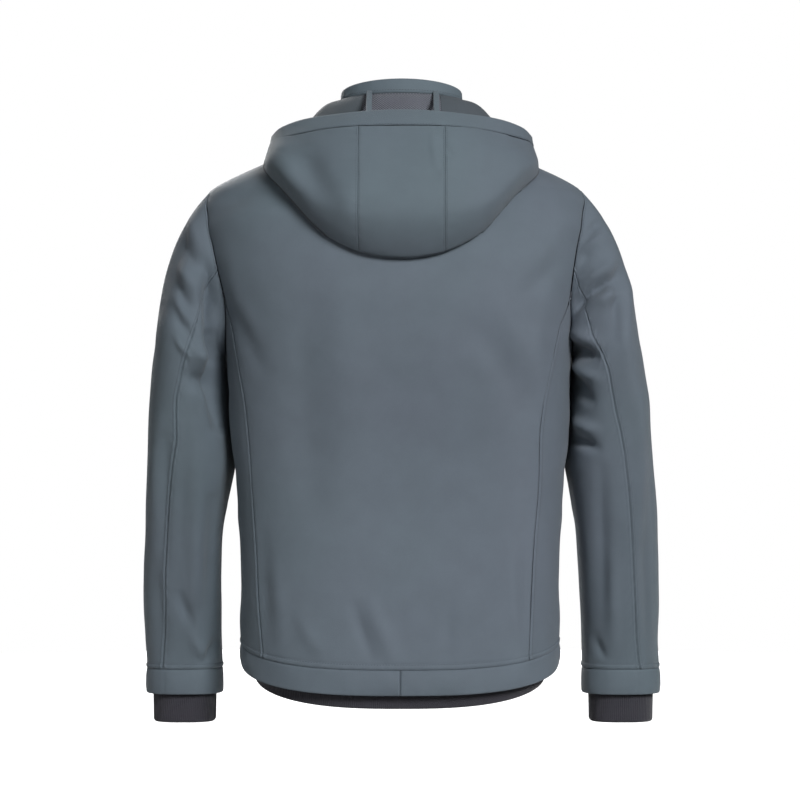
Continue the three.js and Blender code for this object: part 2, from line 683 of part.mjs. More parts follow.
function zipTape(side) {
  const widths = [0.3, zipHalf, tapeHalf];
  const sunk = (point, into, depth) => ({ point: point.addScaledVector(into, depth), into });
  const onBody = (drop) => widths.map((x) => {
    const angle = onSide(side, angleAtWidth(drop, x, false));
    return sunk(bodyPoint(angle, drop), bodyInward(angle, drop), tapeSink);
  });
  const onCollar = (share) => widths.map((x) => {
    const angle = onSide(side, angleAtWidth(0, x, false));
    return sunk(collarPoint(angle, share), collarInward(angle, share), tapeSink);
  });
  const atNeck = widths.map((x) => {
    const angle = onSide(side, angleAtWidth(0, x, false));
    const halfway = collarInward(angle, 0).add(bodyInward(angle, 0)).normalize();
    return sunk(bodyPoint(angle, 0), halfway, tapeSink / halfway.dot(bodyInward(angle, 0)));
  });
  const rows = [
    ...[1, 0.85, collarSeam, 0.35].map(onCollar),
    atNeck,
    ...frontLevels.slice(1).map(onBody),
    ...[(hemSeam + hemEdge) / 2, hemEdge - 1].map(onBody),
  ];
  return clothSolid(
    rows.map((row) => row.map(({ point }) => point)),
    rows.map((row) => row.map(({ into }) => into)),
    tapeWall,
  );
}

// Slider and pull tab, made flat at the origin and laid on the zip
const slider = {
  width: 9, length: 12, corner: 2.5, wall: 2, share: 0.72,
  lug: 1.4, lugHeight: 3.2, sunk: 0.5, pin: 0.7, pinOut: 4.2,
};
const pull = { width: 5.4, length: 34, corner: 1.6, wall: 1.6, eye: 1.1, play: 0.35, hang: 0.1 };

function toSolid(geometry) {
  const bare = geometry.index ? geometry.toNonIndexed() : geometry.clone();
  bare.deleteAttribute('normal');
  bare.deleteAttribute('uv');
  const merged = mergeVertices(bare, 1e-4);
  const mesh = new wasm.Mesh({
    numProp: 3,
    vertProperties: new Float32Array(merged.attributes.position.array),
    triVerts: new Uint32Array(merged.index.array),
  });
  return new wasm.Manifold(mesh);
}

function fromSolid(solid) {
  const mesh = solid.getMesh();
  const geometry = new THREE.BufferGeometry();
  geometry.setAttribute('position', new THREE.Float32BufferAttribute(mesh.vertProperties, 3));
  geometry.setIndex(Array.from(mesh.triVerts));
  geometry.computeVertexNormals();
  return geometry;
}

// An upright box with rounded corners seen from the front: X across, Z up, extruded along Y
function plate(width, length, depth, corner) {
  const shape = new THREE.Shape();
  const w = width / 2 - corner;
  const l = length / 2 - corner;
  shape.absarc(w, l, corner, 0, Math.PI / 2);
  shape.absarc(-w, l, corner, Math.PI / 2, Math.PI);
  shape.absarc(-w, -l, corner, Math.PI, Math.PI * 1.5);
  shape.absarc(w, -l, corner, Math.PI * 1.5, Math.PI * 2);
  const geometry = new THREE.ExtrudeGeometry(shape, { depth, bevelEnabled: false, curveSegments: 4 });
  return geometry.rotateX(Math.PI / 2);
}

function crossRod(radius, length) {
  return new THREE.CylinderGeometry(radius, radius, length, 16).rotateZ(Math.PI / 2);
}

function sliderGeometry() {
  const base = plate(slider.width, slider.length, slider.wall, slider.corner);
  const lugLength = slider.pinOut + slider.lug - slider.wall + slider.sunk;
  const lugs = [-1, 1].map((way) => {
    const lug = plate(slider.lug, slider.lugHeight, lugLength, 0.5);
    return lug.translate(way * (pull.width / 2 + pull.play + slider.lug / 2), slider.sunk - slider.wall, 0);
  });
  const pinLength = pull.width + 2 * pull.play + 2 * slider.lug - 0.4;
  const pin = crossRod(slider.pin, pinLength).translate(0, -slider.pinOut, 0);
  return fromSolid([...lugs, pin].map(toSolid).reduce((sum, part) => sum.add(part), toSolid(base)));
}

// The pull hangs from the pin, which is at its local origin
function pullGeometry() {
  const eyeRadius = slider.pin + pull.play;
  const bar = plate(pull.width, pull.length, pull.wall, pull.corner);
  bar.translate(0, pull.wall / 2, pull.corner - pull.length / 2);
  const head = crossRod(eyeRadius + pull.eye, pull.width);
  const hole = crossRod(eyeRadius, pull.width + 2);
  return fromSolid(toSolid(bar).add(toSolid(head)).subtract(toSolid(hole)));
}

// Everything on the front lies along the collar's slope there
const zipPlace = collarPoint(0, slider.share);
const zipSlope = collarPoint(0, slider.share - 0.05).sub(collarPoint(0, slider.share + 0.05));
const zipLean = Math.atan2(-zipSlope.y, -zipSlope.z);
zipPlace.addScaledVector(collarInward(0, slider.share), tapeSink - 0.6);
const hangLean = Math.max(zipLean, 0) + pull.hang;

addPiece('back_panel', backPanel(), materials.shell);
for (const [name, side] of [['left', 1], ['right', -1]]) {
  addPiece(`front_panel_${name}`, frontPanel(side), materials.shell);
  addPiece(`side_panel_${name}`, sidePanel(side), materials.shell);
  addPiece(`top_sleeve_${name}`, sleevePanel(side, topTurns, true), materials.shell);
  addPiece(`under_sleeve_${name}`, sleevePanel(side, underTurns, false), materials.shell);
  addPiece(`cuff_band_${name}`, cuffRing(side, cuffBandRows), materials.shell);
  addPiece(`inner_cuff_${name}`, cuffRing(side, knitCuffRows), materials.knit);
  addPiece(`hem_band_${name}`, hemBand(side), materials.shell);
  addPiece(`inner_hem_${name}`, innerHemBand(side), materials.knit);
  addPiece(`hood_${name}`, hoodPanel(name, shellHalf, shellShares), materials.shell);
  addPiece(`lining_${name}`, hoodPanel(name, liningHalf, liningShares), materials.dark);
  addPiece(`hood_loop_${name}`, hoodLoop(loopPlaces[name]), materials.shell);
  addPiece(`zip_tape_${name}`, zipTape(side), materials.tape);
}
addPiece('collar_stand', collarBand([0.006, 0.35, collarSeam - 0.003]), materials.dark);
addPiece('collar_band', collarBand([collarSeam + 0.003, 0.85, 1]), materials.shell);
addPiece('hood_centre', hoodPanel('centre', shellHalf, shellShares), materials.shell);
addPiece('hood_brim', hoodBrim(), materials.shell);
addPiece('lining_mesh', hoodPanel('centre', liningHalf, liningShares), materials.lining);

const sliderMesh = new THREE.Mesh(sliderGeometry(), materials.metal);
sliderMesh.name = 'zip_slider';
const pullMesh = new THREE.Mesh(pullGeometry(), materials.metal);
pullMesh.name = 'zip_pull';
pullMesh.position.set(0, -slider.pinOut, 0);
pullMesh.rotation.x = -hangLean + zipLean;
const zipGroup = new THREE.Group();
zipGroup.add(sliderMesh, pullMesh);
zipGroup.position.copy(zipPlace);
zipGroup.rotation.x = -zipLean;
jacket.add(zipGroup);

export default jacket;
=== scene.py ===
import math

import bmesh
import bpy
import numpy as np
from mathutils import Matrix, Vector


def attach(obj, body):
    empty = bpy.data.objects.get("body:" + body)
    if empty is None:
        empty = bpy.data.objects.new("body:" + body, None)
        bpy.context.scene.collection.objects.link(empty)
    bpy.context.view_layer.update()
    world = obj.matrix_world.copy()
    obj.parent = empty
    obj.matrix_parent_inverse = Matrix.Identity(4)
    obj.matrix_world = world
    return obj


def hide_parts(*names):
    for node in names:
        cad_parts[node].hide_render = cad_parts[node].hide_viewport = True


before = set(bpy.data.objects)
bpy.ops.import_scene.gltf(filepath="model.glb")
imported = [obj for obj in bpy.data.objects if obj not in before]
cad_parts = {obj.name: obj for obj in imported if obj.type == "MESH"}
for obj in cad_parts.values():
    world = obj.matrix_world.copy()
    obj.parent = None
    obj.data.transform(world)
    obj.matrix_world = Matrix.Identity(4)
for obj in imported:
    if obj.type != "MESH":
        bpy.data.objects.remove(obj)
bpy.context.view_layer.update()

mm = 0.001  # the tables and places are in millimetres, meshes are in metres

# Driving dimensions, the same as the model's
cloth = 2
seamGap = 0.32
zipHalf = 8
tapeHalf = 20
tapeWall = 1.2
tapeSink = cloth + 0.4
armholeTop = 80
armholeBottom = 285
armholeBack = 62
armholeFront = 60
hemSeam = 637
hemEdge = 665
cuffSeam = 676
cuffEdge = 708
innerCuffTop = 684
innerCuffEdge = 744
capShare = 0.38
collarSeam = 0.7
hoodSeam = 52
meshSeam = 46
hoodEnd = 152
foldAt = 0.5
brimAt = 0.875
hoodClear = 4  # the hood lies this far off the body
neckLean = -2
joinTurn = 104.7
sleeveTilt = 25
sleeveStart = 310
turnWidth = 1.15  # millimetres of sleeve for each degree round it
sleeveLength = 640
seamRun = 45  # drop over which a side seam leaves the armhole
hemLine = hemSeam - 10
sides = ((1, "Left", "left"), (-1, "Right", "right"))


def mix(a, b, t):
    return a + (b - a) * t


def ease(t):
    t = np.clip(t, 0, 1)
    return t * t * (3 - 2 * t)


def sind(angle):
    return np.sin(np.radians(angle))


def cosd(angle):
    return np.cos(np.radians(angle))


def stack(x, y, z):
    return np.stack(np.broadcast_arrays(x, y, z), axis=-1).astype(float)


def unit(vectors):
    return vectors / np.maximum(np.linalg.norm(vectors, axis=-1, keepdims=True), 1e-9)


def smoothTable(names, rows, even=False):  # each column read as a smooth curve of the first one
    keys, *columns = np.array(rows, float).T
    rise = np.diff(columns, axis=1) / np.diff(keys)
    before, after = rise[:, :-1], rise[:, 1:]
    steepest = 3 * np.minimum(abs(before), abs(after))
    inner = np.sign(after) * np.minimum(abs(before + after) / 2, steepest) * (before * after > 0)
    slopes = np.hstack([rise[:, :1] * (not even), inner, rise[:, -1:]])

    def read(name, at):
        values, slope = columns[names.index(name)], slopes[names.index(name)]
        at = np.clip(at, keys[0], keys[-1])
        i = np.clip(np.searchsorted(keys, at, side="right") - 1, 0, len(keys) - 2)
        span = keys[i + 1] - keys[i]
        t = (at - keys[i]) / span
        bend = t * (1 - t) * span * ((1 - t) * slope[i] - t * slope[i + 1])
        return mix(values[i], values[i + 1], ease(t)) + bend

    return read


# Rings of the body, by drop below the neck point
body = smoothTable(
    ["half", "back", "front", "power", "backDip", "frontDip", "lean"],
    [
        [0, 72, 60, 74, 2.0, 6, 45, -2], [20, 106, 74, 82, 2.0, 6, 38, 0],
        [51, 169, 91.5, 93, 2.1, 4, 25, 3], [66, 201, 98, 99, 2.2, 3, 18, 4],
        [80, 226, 104, 104.5, 2.3, 2, 12, 5], [92, 236, 109, 109, 2.35, 2, 9, 5],
        [106, 240, 114, 114, 2.4, 1, 6, 6], [125, 240, 120, 121, 2.5, 1, 3, 6],
        [150, 236, 126, 128, 2.6, 0, 0, 6], [185, 228, 131, 133, 2.7, 0, 0, 5],
        [217, 220, 133, 135, 2.7, 0, 0, 3], [285, 213, 129, 133, 2.8, 0, 0, 1],
        [341, 211.6, 120, 129, 2.8, 0, 0, 1], [415, 206.5, 110, 126, 2.8, 0, 0, 0],
        [465, 201, 109, 125, 2.8, 0, 0, 0], [515, 198, 113, 125, 2.8, 0, 0, 0],
        [589, 196, 121, 126, 2.8, 8, 0, 0], [637, 196, 126, 127, 2.8, 27, 0, 0],
        [700, 195, 128, 128, 2.8, 31, 0, 0],
    ],
)

# Side-back seams: how far each lies from the jacket's middle
sideSeams = smoothTable(
    ["left", "right"],
    [
        [208, 216, 206], [250, 205.7, 194.6],
        [300, 196.4, 183.6], [341, 189, 174.7],
        [390, 184, 169.3], [440, 180.7, 168.7],
        [515, 175.7, 162.6], [590, 171.6, 158.4],
        [640, 165, 155.4],
    ],
)

# Rings of the sleeves: outer and inner edges of each side, half depth and the middle's Y
sleeve = smoothTable(
    ["leftOuter", "leftInner", "rightOuter", "rightInner", "depth", "middle"],
    [
        [280, 304.5, 218.5, 298.8, 217, 87, -5], [310, 307.2, 217.5, 303.6, 216, 83, -6],
        [341, 309.7, 216, 308.7, 214.5, 77, -7], [380, 312.3, 212.8, 311.2, 212.5, 70, -9],
        [415, 313.4, 210.5, 313.8, 210, 65, -12], [450, 315.2, 214.5, 317.4, 213.8, 62, -17],
        [480, 316.6, 219.2, 319.9, 217.1, 60, -22], [515, 318, 222.4, 321.6, 220.6, 58.5, -28],
        [550, 320, 223.6, 323.2, 223.3, 57, -35], [600, 320.8, 223.9, 324.4, 226.4, 53, -44],
        [640, 319.6, 224.3, 323.9, 228.3, 48, -51], [676, 318.2, 223.4, 326, 229, 44.5, -55],
        [708, 319, 222.8, 327, 228.8, 44.5, -58],
    ],
)

# The sleeve's back seam in degrees round it, by the share of its length
sleeveSeam = smoothTable(
    ["left", "right"],
    [
        [0, 90, 90], [0.2, 94, 104],
        [0.38, 86, 97], [0.45, 78, 90],
        [0.51, 78, 81], [0.57, 72, 75],
        [0.72, 69, 74], [0.87, 68, 72],
        [1, 60, 66],
    ],
)

# Sections of the hood round the neck, in degrees from the back
hoodKnots = ["flare", "rest", "lower", "fold", "swell", "out", "seam", "brim"]
hood = smoothTable(
    [name + axis for name in hoodKnots for axis in "RZ"],
    [
        [0, 70, 14, 98, -60, 124, -142, 137, -172, 169, -124, 157, -62, 131, -13, 110, 8.7],
        [35, 76, 14, 108, -50, 136, -121, 152, -147, 180, -104, 168, -52, 144, -15, 126, 4.5],
        [57, 86, 17, 122, -30, 152, -67, 170, -88, 185, -60, 177, -40, 162, -22, 148, -1.8],
        [68, 91, 18.5, 124, -21, 154, -44, 175, -68, 179, -54, 174, -38, 168, -26, 160, -9],
        [78, 96, 20, 125, -12, 150, -25, 168, -53, 170, -45, 168, -37, 166, -30, 163, -16],
        [100, 97, 16, 120, -8, 138, -21, 154, -45, 158, -37, 157, -31, 153, -26, 148, -17],
        [125, 90, 2, 99, -19, 107, -33, 121, -52, 131, -42, 130, -34, 128, -28, 124, -21],
        [152, 82, -13, 86, -24, 90, -34, 99, -47, 109, -40, 108, -34, 105, -29, 101, -24],
    ],
    even=True,
)
hoodRoot = smoothTable(["share"], [[0, 0.65], [95, 0.64], [130, 0.45], [152, 0.25]])


def ringRadius(across, facing, half, depth, power):  # of a ring between an ellipse (2) and a box
    return (abs(across / half) ** power + abs(facing / depth) ** power) ** (-1 / power)


def bodyPoint(angle, drop):  # angle 0 is centre front, 90 the left side, 180 centre back
    across, facing = sind(angle), -cosd(angle)
    depth = np.where(facing > 0, body("back", drop), body("front", drop))
    dip = np.where(facing > 0, body("backDip", drop), body("frontDip", drop))
    radius = ringRadius(across, facing, body("half", drop), depth, body("power", drop))
    hang = dip * abs(radius * facing / depth) ** 1.5
    return stack(radius * across + body("lean", drop), radius * facing, -drop - hang)


def inwardOf(surface, a, b, stepA, stepB, sign=1):
    here = surface(a, b)
    normal = np.cross(surface(a + stepA, b) - here, surface(a, b + stepB) - here)
    return unit(normal) * sign * np.sign(stepA * stepB)


def bodyInward(angle, drop):
    return inwardOf(bodyPoint, angle, drop, 0.5, 1)


def onSide(side, angle):
    return angle if side > 0 else 360 - angle


def sideName(side):
    return "left" if side > 0 else "right"


def angleAtDepth(drop, y):
    depth = np.where(y > 0, body("back", drop), body("front", drop))
    power = body("power", drop)
    x = body("half", drop) * (1 - abs(y / depth) ** power) ** (1 / power)
    return np.degrees(np.arctan2(x, -y))


def angleAtWidth(drop, x, atBack=False):
    depth = body("back" if atBack else "front", drop)
    power = body("power", drop)
    y = depth * (1 - (x / body("half", drop)) ** power) ** (1 / power)
    return np.degrees(np.arctan2(x, -y if atBack else y))


# The armhole by its turn: 0 at the shoulder tip, 90 at the back, 180 at the underarm
def armholeDrop(turn):
    return (armholeTop + armholeBottom) / 2 - (armholeBottom - armholeTop) / 2 * cosd(turn)


def armholeAngle(turn):
    swing = sind(turn)
    return angleAtDepth(armholeDrop(turn), swing * np.where(swing > 0, armholeBack, armholeFront))


joinDrop = armholeDrop(joinTurn)


def sideSeamAngle(side, drop, atBack):
    start = armholeAngle(joinTurn if atBack else 360 - joinTurn)
    out = sideSeams(sideName(side), drop) - side * body("lean", drop)
    return mix(start, angleAtWidth(drop, out, atBack), ease((drop - joinDrop) / seamRun))


def nudge(angle, drop, distance):
    point = bodyPoint(angle, drop)
    return angle + np.degrees(distance / np.hypot(point[..., 0] - body("lean", drop), point[..., 1]))


def frontEdge(drop):
    return angleAtWidth(drop, zipHalf)


# Grids of points: near steps keep narrow columns and rows along the seams
nearSteps = np.array([0, 0.45, 1, 1.7, 2.6, 3.4, 4.2, 5.2, 6.4, 8, 10])


def fineEnds(start, end):
    return np.concatenate([start + nearSteps, end - nearSteps[::-1]])


def spread(width, middle):  # shares across rows of the given widths
    width = np.atleast_1d(width)[:, None]
    ends = nearSteps / width
    inner = mix(ends[:, -1:], 1 - ends[:, -1:], np.linspace(0, 1, middle + 1)[None, 1:-1])
    return np.hstack([ends, inner, 1 - ends[:, ::-1]])


def rowLengths(surface, start, end, at, count=16):
    points = surface(mix(start, end, np.linspace(0, 1, count)), at)
    return np.linalg.norm(np.diff(points, axis=1), axis=-1).sum(axis=1)


def edgeLevels(side, atBack, rows):  # drop and angle of a back or front panel's side edge
    way = seamGap / 2 if atBack else -seamGap / 2
    shoulder = np.concatenate([nearSteps, np.linspace(10, armholeTop, rows["shoulder"])[1:]])
    turns = np.linspace(0, joinTurn, rows["armhole"])[1:]
    places = turns if atBack else 360 - turns
    hole = armholeDrop(places)
    down = np.linspace(joinDrop, hemLine, rows["side"])[1:]
    down = np.concatenate([down, hemSeam - nearSteps[::-1][1:]])
    drops = np.concatenate([shoulder, hole, down])
    even = np.concatenate([shoulder, np.linspace(armholeTop, joinDrop, rows["armhole"])[1:], down])
    angles = np.concatenate([
        nudge(90.0, shoulder, way),
        nudge(armholeAngle(places), hole, way),
        nudge(sideSeamAngle(side, down, atBack), down, way),
    ])
    return drops, even, angles


def backGrid(settings):
    drops, even, left = edgeLevels(1, True, settings["rows"])
    right = 360 - edgeLevels(-1, True, settings["rows"])[2]
    drops, even, left, right = (column[:, None] for column in (drops, even, left, right))
    shares = spread(rowLengths(bodyPoint, left, right, drops, 24), settings["columns"])
    drop = mix(drops, even, ease(np.minimum(shares, 1 - shares) / 0.3))
    return bodyPoint(mix(left, right, shares), drop)


def frontGrid(side, settings):
    drops, even, start = (column[:, None] for column in edgeLevels(side, False, settings["rows"]))
    shares = spread(rowLengths(bodyPoint, start, frontEdge(drops), drops), settings["columns"])
    drop = mix(drops, even, ease(shares / 0.4))
    return bodyPoint(onSide(side, mix(start, frontEdge(drop), shares)), drop)


def sideGrid(side, settings):
    level = np.linspace(joinDrop, hemLine, settings["rows"])
    level = np.concatenate([level, hemSeam - nearSteps[::-1][1:]])
    level = np.concatenate([joinDrop + nearSteps[:-1], level[level > joinDrop + 10]])[:, None]
    shares = spread(np.full(len(level), settings["width"]), settings["columns"])
    turn = mix(joinTurn, 360 - joinTurn, shares)
    top = armholeDrop(turn)
    fade = np.clip((level - joinDrop) / settings["bend"], 0, 1)
    drop = level + (top - joinDrop) * (1 - fade) ** 2

    def edges(at):
        back = nudge(sideSeamAngle(side, at, True), at, -seamGap / 2)
        front = nudge(sideSeamAngle(side, at, False), at, seamGap / 2)
        return back, front

    backTop, frontTop = edges(top)
    held = mix((armholeAngle(turn) - backTop) / (frontTop - backTop), shares, ease(fade * 1.6))
    held[:, 0], held[:, -1] = 0, 1
    back, front = edges(drop)
    return bodyPoint(onSide(side, mix(back, front, held)), drop)


def tubePoint(side, turn, drop):
    outer = sleeve(sideName(side) + "Outer", drop)
    inner = sleeve(sideName(side) + "Inner", drop)
    radius = ringRadius(cosd(turn), sind(turn), 1, 1, 2.5)
    x = (outer + inner) / 2 + (outer - inner) / 2 * radius * cosd(turn)
    return stack(side * x, sleeve("middle", drop) + sleeve("depth", drop) * radius * sind(turn), -drop)


def sleeveRing(side, turn, share):
    drop = mix(sleeveStart, cuffSeam, share) - sleeveTilt * cosd(turn) * (1 - share) ** 1.5
    return tubePoint(side, turn, drop)


def sleevePoint(side, turn, along):
    turn, along = np.broadcast_arrays(turn, along)
    lower = sleeveRing(side, turn, np.clip((along - capShare) / (1 - capShare), 0, 1))
    rise = (1 + cosd(turn)) / 2
    leave = unit(stack(side * mix(0.15, 0.72, rise), 0.35 * sind(turn), -mix(0.98, 0.69, rise)))
    angle, drop = onSide(side, armholeAngle(turn)), armholeDrop(turn)
    start = bodyPoint(angle, drop) + leave * 0.15 - bodyInward(angle, drop) * 0.5 * (1 - rise)[..., None]
    end = sleeveRing(side, turn, 0)
    arrive = unit(sleeveRing(side, turn, 0.02) - end)
    reach = np.linalg.norm(start - end, axis=-1, keepdims=True) * 1.05
    t = np.clip(along / capShare, 0, 1)[..., None]
    cap = start * (1 + 2 * t) * (1 - t) ** 2 + leave * reach * t * (1 - t) ** 2
    cap = cap + end * t * t * (3 - 2 * t) + arrive * reach * t * t * (t - 1)
    return np.where(along[..., None] >= capShare, lower, cap)


def sleeveGrid(side, settings, isTop):
    near = nearSteps / sleeveLength
    middle = np.linspace(near[-1], 1 - near[-1], settings["rows"])[1:-1]
    along = np.concatenate([near, middle, 1 - near[::-1]])[:, None]
    half = seamGap / 2 / turnWidth
    back = sleeveSeam(sideName(side), along)
    start = back - half if isTop else back + half
    end = -joinTurn + half if isTop else 360 - joinTurn - half
    width = rowLengths(lambda turn, at: sleevePoint(side, turn, at), start, end, along)
    turn = mix(start, end, spread(width, settings["columns"]))
    return sleevePoint(side, turn, along), turn, along + 0 * turn


def cuffGrid(side, drops, narrow, columns):
    turn = np.linspace(0, 360, columns + 1)
    point = tubePoint(side, turn, drops[:, None])
    middle = (tubePoint(side, 90, drops[:, None]) + tubePoint(side, 270, drops[:, None])) / 2
    out = (point - middle) * [1, 1, 0]
    return point - unit(out) * narrow[:, None, None]


collar = {
    "half": 74.8, "back": 50, "front": 62, "height": 39.5, "backRise": 12.8, "frontRise": -17.5, "bulge": 2,
    "columns": 120,
}


def collarPoint(angle, share):
    foot = bodyPoint(angle, 0.0)
    across, facing = sind(angle), -cosd(angle)
    depth = np.where(facing > 0, collar["back"], collar["front"])
    radius = ringRadius(across, facing, collar["half"], depth, 2)
    lift = np.where(facing > 0, collar["backRise"], collar["frontRise"])
    rise = lift * abs(radius * facing / depth) ** 1.2
    top = stack(radius * across + neckLean, radius * facing, collar["height"] + rise)
    share = np.asarray(share, float)[..., None]
    return mix(foot, top, share) + stack(across, facing, 0) * collar["bulge"] * np.sin(np.pi * share)


def collarInward(angle, share):
    return inwardOf(collarPoint, angle, share, 0.5, -0.02, -1)


innerHem = {
    "half": 179, "back": 113, "front": 112, "power": 2.7, "drop": 681, "backDip": 31, "frontDip": -6,
    "bulge": 3, "clear": 0.35,
}


def innerHemPoint(angle, share):
    drop = (hemSeam + hemEdge) / 2
    top = bodyPoint(angle, drop) + bodyInward(angle, drop) * (cloth + innerHem["clear"])
    across, facing = sind(angle), -cosd(angle)
    depth = np.where(facing > 0, innerHem["back"], innerHem["front"])
    radius = ringRadius(across, facing, innerHem["half"], depth, innerHem["power"])
    dip = np.where(facing > 0, innerHem["backDip"], innerHem["frontDip"])
    hang = dip * abs(radius * facing / depth) ** 1.5
    bottom = stack(radius * across, radius * facing, -innerHem["drop"] - hang)
    share = np.asarray(share, float)[..., None]
    return mix(top, bottom, share) - stack(across, facing, 0) * innerHem["bulge"] * np.sin(np.pi * share)


def hoodSection(around, share):  # from the collar down to the fold, and up outside to the brim
    turn, share = np.broadcast_arrays(abs(np.asarray(around, float)), share)
    root = collarPoint(180 - turn, hoodRoot("share", turn))
    start = np.hypot(root[..., 0] - neckLean, root[..., 1]) + 1.3
    radii = [start] + [hood(k + "R", turn) for k in hoodKnots]
    heights = [root[..., 2]] + [hood(k + "Z", turn) for k in hoodKnots]
    knots = np.stack([np.stack(radii), np.stack(heights)], axis=-1)
    at = np.clip(share, 0, 1) * 8
    i = np.minimum(at.astype(int), 7)
    t = (at - i)[..., None]

    def knot(index):
        return np.take_along_axis(knots, np.clip(index, 0, 8)[None, ..., None], axis=0)[0]

    p0, p1, p2, p3 = knot(i - 1), knot(i), knot(i + 1), knot(i + 2)
    v0, v1 = (p2 - p0) / 2, (p3 - p1) / 2
    return (2 * p1 - 2 * p2 + v0 + v1) * t ** 3 + (3 * p2 - 3 * p1 - 2 * v0 - v1) * t ** 2 + v0 * t + p1


def clearOfBody(point, clearance):
    def angleOf(drop):
        return np.degrees(np.arctan2(point[..., 0] - body("lean", drop), -point[..., 1])) % 360

    for _ in range(4):
        drop = -point[..., 2]
        for _ in range(6):
            drop = drop - (point[..., 2] - bodyPoint(angleOf(drop), np.maximum(drop, 0))[..., 2])
        angle = angleOf(drop)
        into = bodyInward(angle, drop)
        away = ((bodyPoint(angle, drop) - point) * into).sum(axis=-1)
        push = np.where((drop >= 0) & (away < clearance), away - clearance, 0)
        point = point + into * push[..., None]
    return point


def hoodPoint(around, share):
    around, share = np.broadcast_arrays(np.asarray(around, float), share)
    at = hoodSection(around, share)
    point = stack(at[..., 0] * sind(around) + neckLean, at[..., 0] * cosd(around), at[..., 1])
    low = ((share > 0.02) & (share < 0.62))[..., None]
    return np.where(low, clearOfBody(point, hoodClear), point)


def aroundAt(x, share):
    around = np.full(np.shape(share), 25.0)
    for _ in range(8):
        around = np.degrees(np.arcsin(np.clip(x / hoodSection(around, share)[..., 0], 0, 1)))
    return around


def hoodGrid(part, half, shares, columns):
    share = shares[:, None]
    inner = aroundAt(half[:, None] - seamGap / 2, share)
    outer = aroundAt(half[:, None] + seamGap / 2, share)
    start, end = {
        "centre": (inner, -inner),
        "left": (hoodEnd + 0 * outer, outer),
        "right": (-outer, -hoodEnd + 0 * outer),
    }[part]
    return hoodPoint(mix(start, end, spread(rowLengths(hoodPoint, start, end, share), columns)), share)


# Cloth: seams sink and roll, stitched ones lift a narrow band, and folds are soft ridges and troughs
bandStitch = 6.4  # how far each line of stitches lies from its seam
panelStitch = 4.2
softStitch = 3.4
hoodStitch = 2.1
brimStitch = 1.2
seamKinds = {
    "plain": {"sink": 0.9, "roll": 1.2, "pucker": 0.1},
    "joined": {"sink": 0.7, "roll": 1.1, "pucker": 0.14},
    "hem": {"sink": 0.55, "roll": 0.9, "pucker": 0.12},
    "turned": {"sink": 0.2, "roll": 0.9, "pucker": 0.16},
    "band": {"sink": 0.8, "roll": 1.1, "pucker": 0.35, "stitch": bandStitch, "lift": 0.8, "groove": 1.3},
    "soft": {"sink": 0.6, "roll": 1.0, "pucker": 0.25, "stitch": softStitch, "lift": 0.3, "groove": 0.25},
    "side": {"sink": 0.6, "roll": 1.1, "pucker": 0.25, "stitch": panelStitch, "lift": 0.3, "groove": 0.4},
    "sleeve": {"sink": 1.2, "roll": 1.4, "pucker": 0.35, "stitch": panelStitch, "lift": 0.3, "groove": 0.4},
    "hood": {"sink": 0.55, "roll": 0.8, "pucker": 0.2, "stitch": hoodStitch, "lift": 0.15, "groove": 0.3},
}
puckerReach = 8
driftFree = 14  # no unevenness so near a seam
grooveHalf = 0.9
foldGain = 1.5


def gridNormals(points, outward):
    across = np.gradient(points, axis=1)
    down = np.gradient(points, axis=0)
    return unit(np.cross(across, down)) * outward


def lengthsAlong(points, axis):
    step = np.linalg.norm(np.diff(points, axis=axis), axis=-1)
    pad = [(1, 0), (0, 0)] if axis == 0 else [(0, 0), (1, 0)]
    return np.cumsum(np.pad(step, pad), axis=axis)


def edgeDistances(points):
    along, down = lengthsAlong(points, 1), lengthsAlong(points, 0)
    return {
        "left": (along, down),
        "right": (along[:, -1:] - along, down),
        "top": (down, along),
        "bottom": (down[-1:] - down, along),
    }


def seamRelief(points, seams):
    height = np.zeros(points.shape[:2])
    distances = edgeDistances(points)
    for edge, kind in seams.items():
        away, along = distances[edge]
        k = seamKinds[kind]
        height -= k["sink"] * np.exp(-(away / k["roll"]) ** 2)
        wave = np.sin(along / 1.9 + 2.1 * np.sin(along / 13.7)) + 0.6 * np.sin(along / 3.3 + 1.2)
        height += k["pucker"] * wave * np.exp(-(away / puckerReach) ** 2) * ease(away / 1.5)
        if "stitch" in k:
            height += k["lift"] * (1 - ease((away - k["stitch"]) / (2 * grooveHalf)))
            height -= k["groove"] * np.exp(-((away - k["stitch"]) / grooveHalf) ** 2)
    return height


def foldRelief(u, v, folds):  # each fold: from u, v to u, v, bow sideways, width, height
    height = np.zeros(np.broadcast(u, v).shape)
    for u0, v0, u1, v1, bow, width, rise in folds:
        length = math.hypot(u1 - u0, v1 - v0)
        alongU, alongV = (u1 - u0) / length, (v1 - v0) / length
        s = ((u - u0) * alongU + (v - v0) * alongV) / length
        held = np.clip(s, 0, 1)
        aside = (u - u0) * alongV - (v - v0) * alongU - bow * 4 * held * (1 - held)
        away = np.hypot(aside, (s - held) * length) / width
        height += rise * np.exp(-away ** 2) * (0.35 + 0.65 * np.sin(np.pi * held))
    return height * foldGain


def drift(points, size):  # slow unevenness of hanging cloth
    x, y, z = points[..., 0], points[..., 1], points[..., 2]
    slow = np.sin(x / 31 + 1.3 * np.sin(z / 57)) * np.sin(z / 43 + 0.8 * np.sin(y / 39))
    quick = np.sin(x / 12.5 - z / 21 + 2 * np.sin(y / 33)) * np.sin(z / 17 + y / 26)
    return size * (0.7 * slow + 0.3 * quick)


def dress(points, outward, seams, height, slack, fade):
    distances = edgeDistances(points)
    calm = 1.0
    for edge in seams:
        calm = calm * ease(distances[edge][0] / driftFree)
    relief = (seamRelief(points, seams) + height + drift(points, slack) * calm) * fade
    return points + gridNormals(points, outward) * relief[..., None]


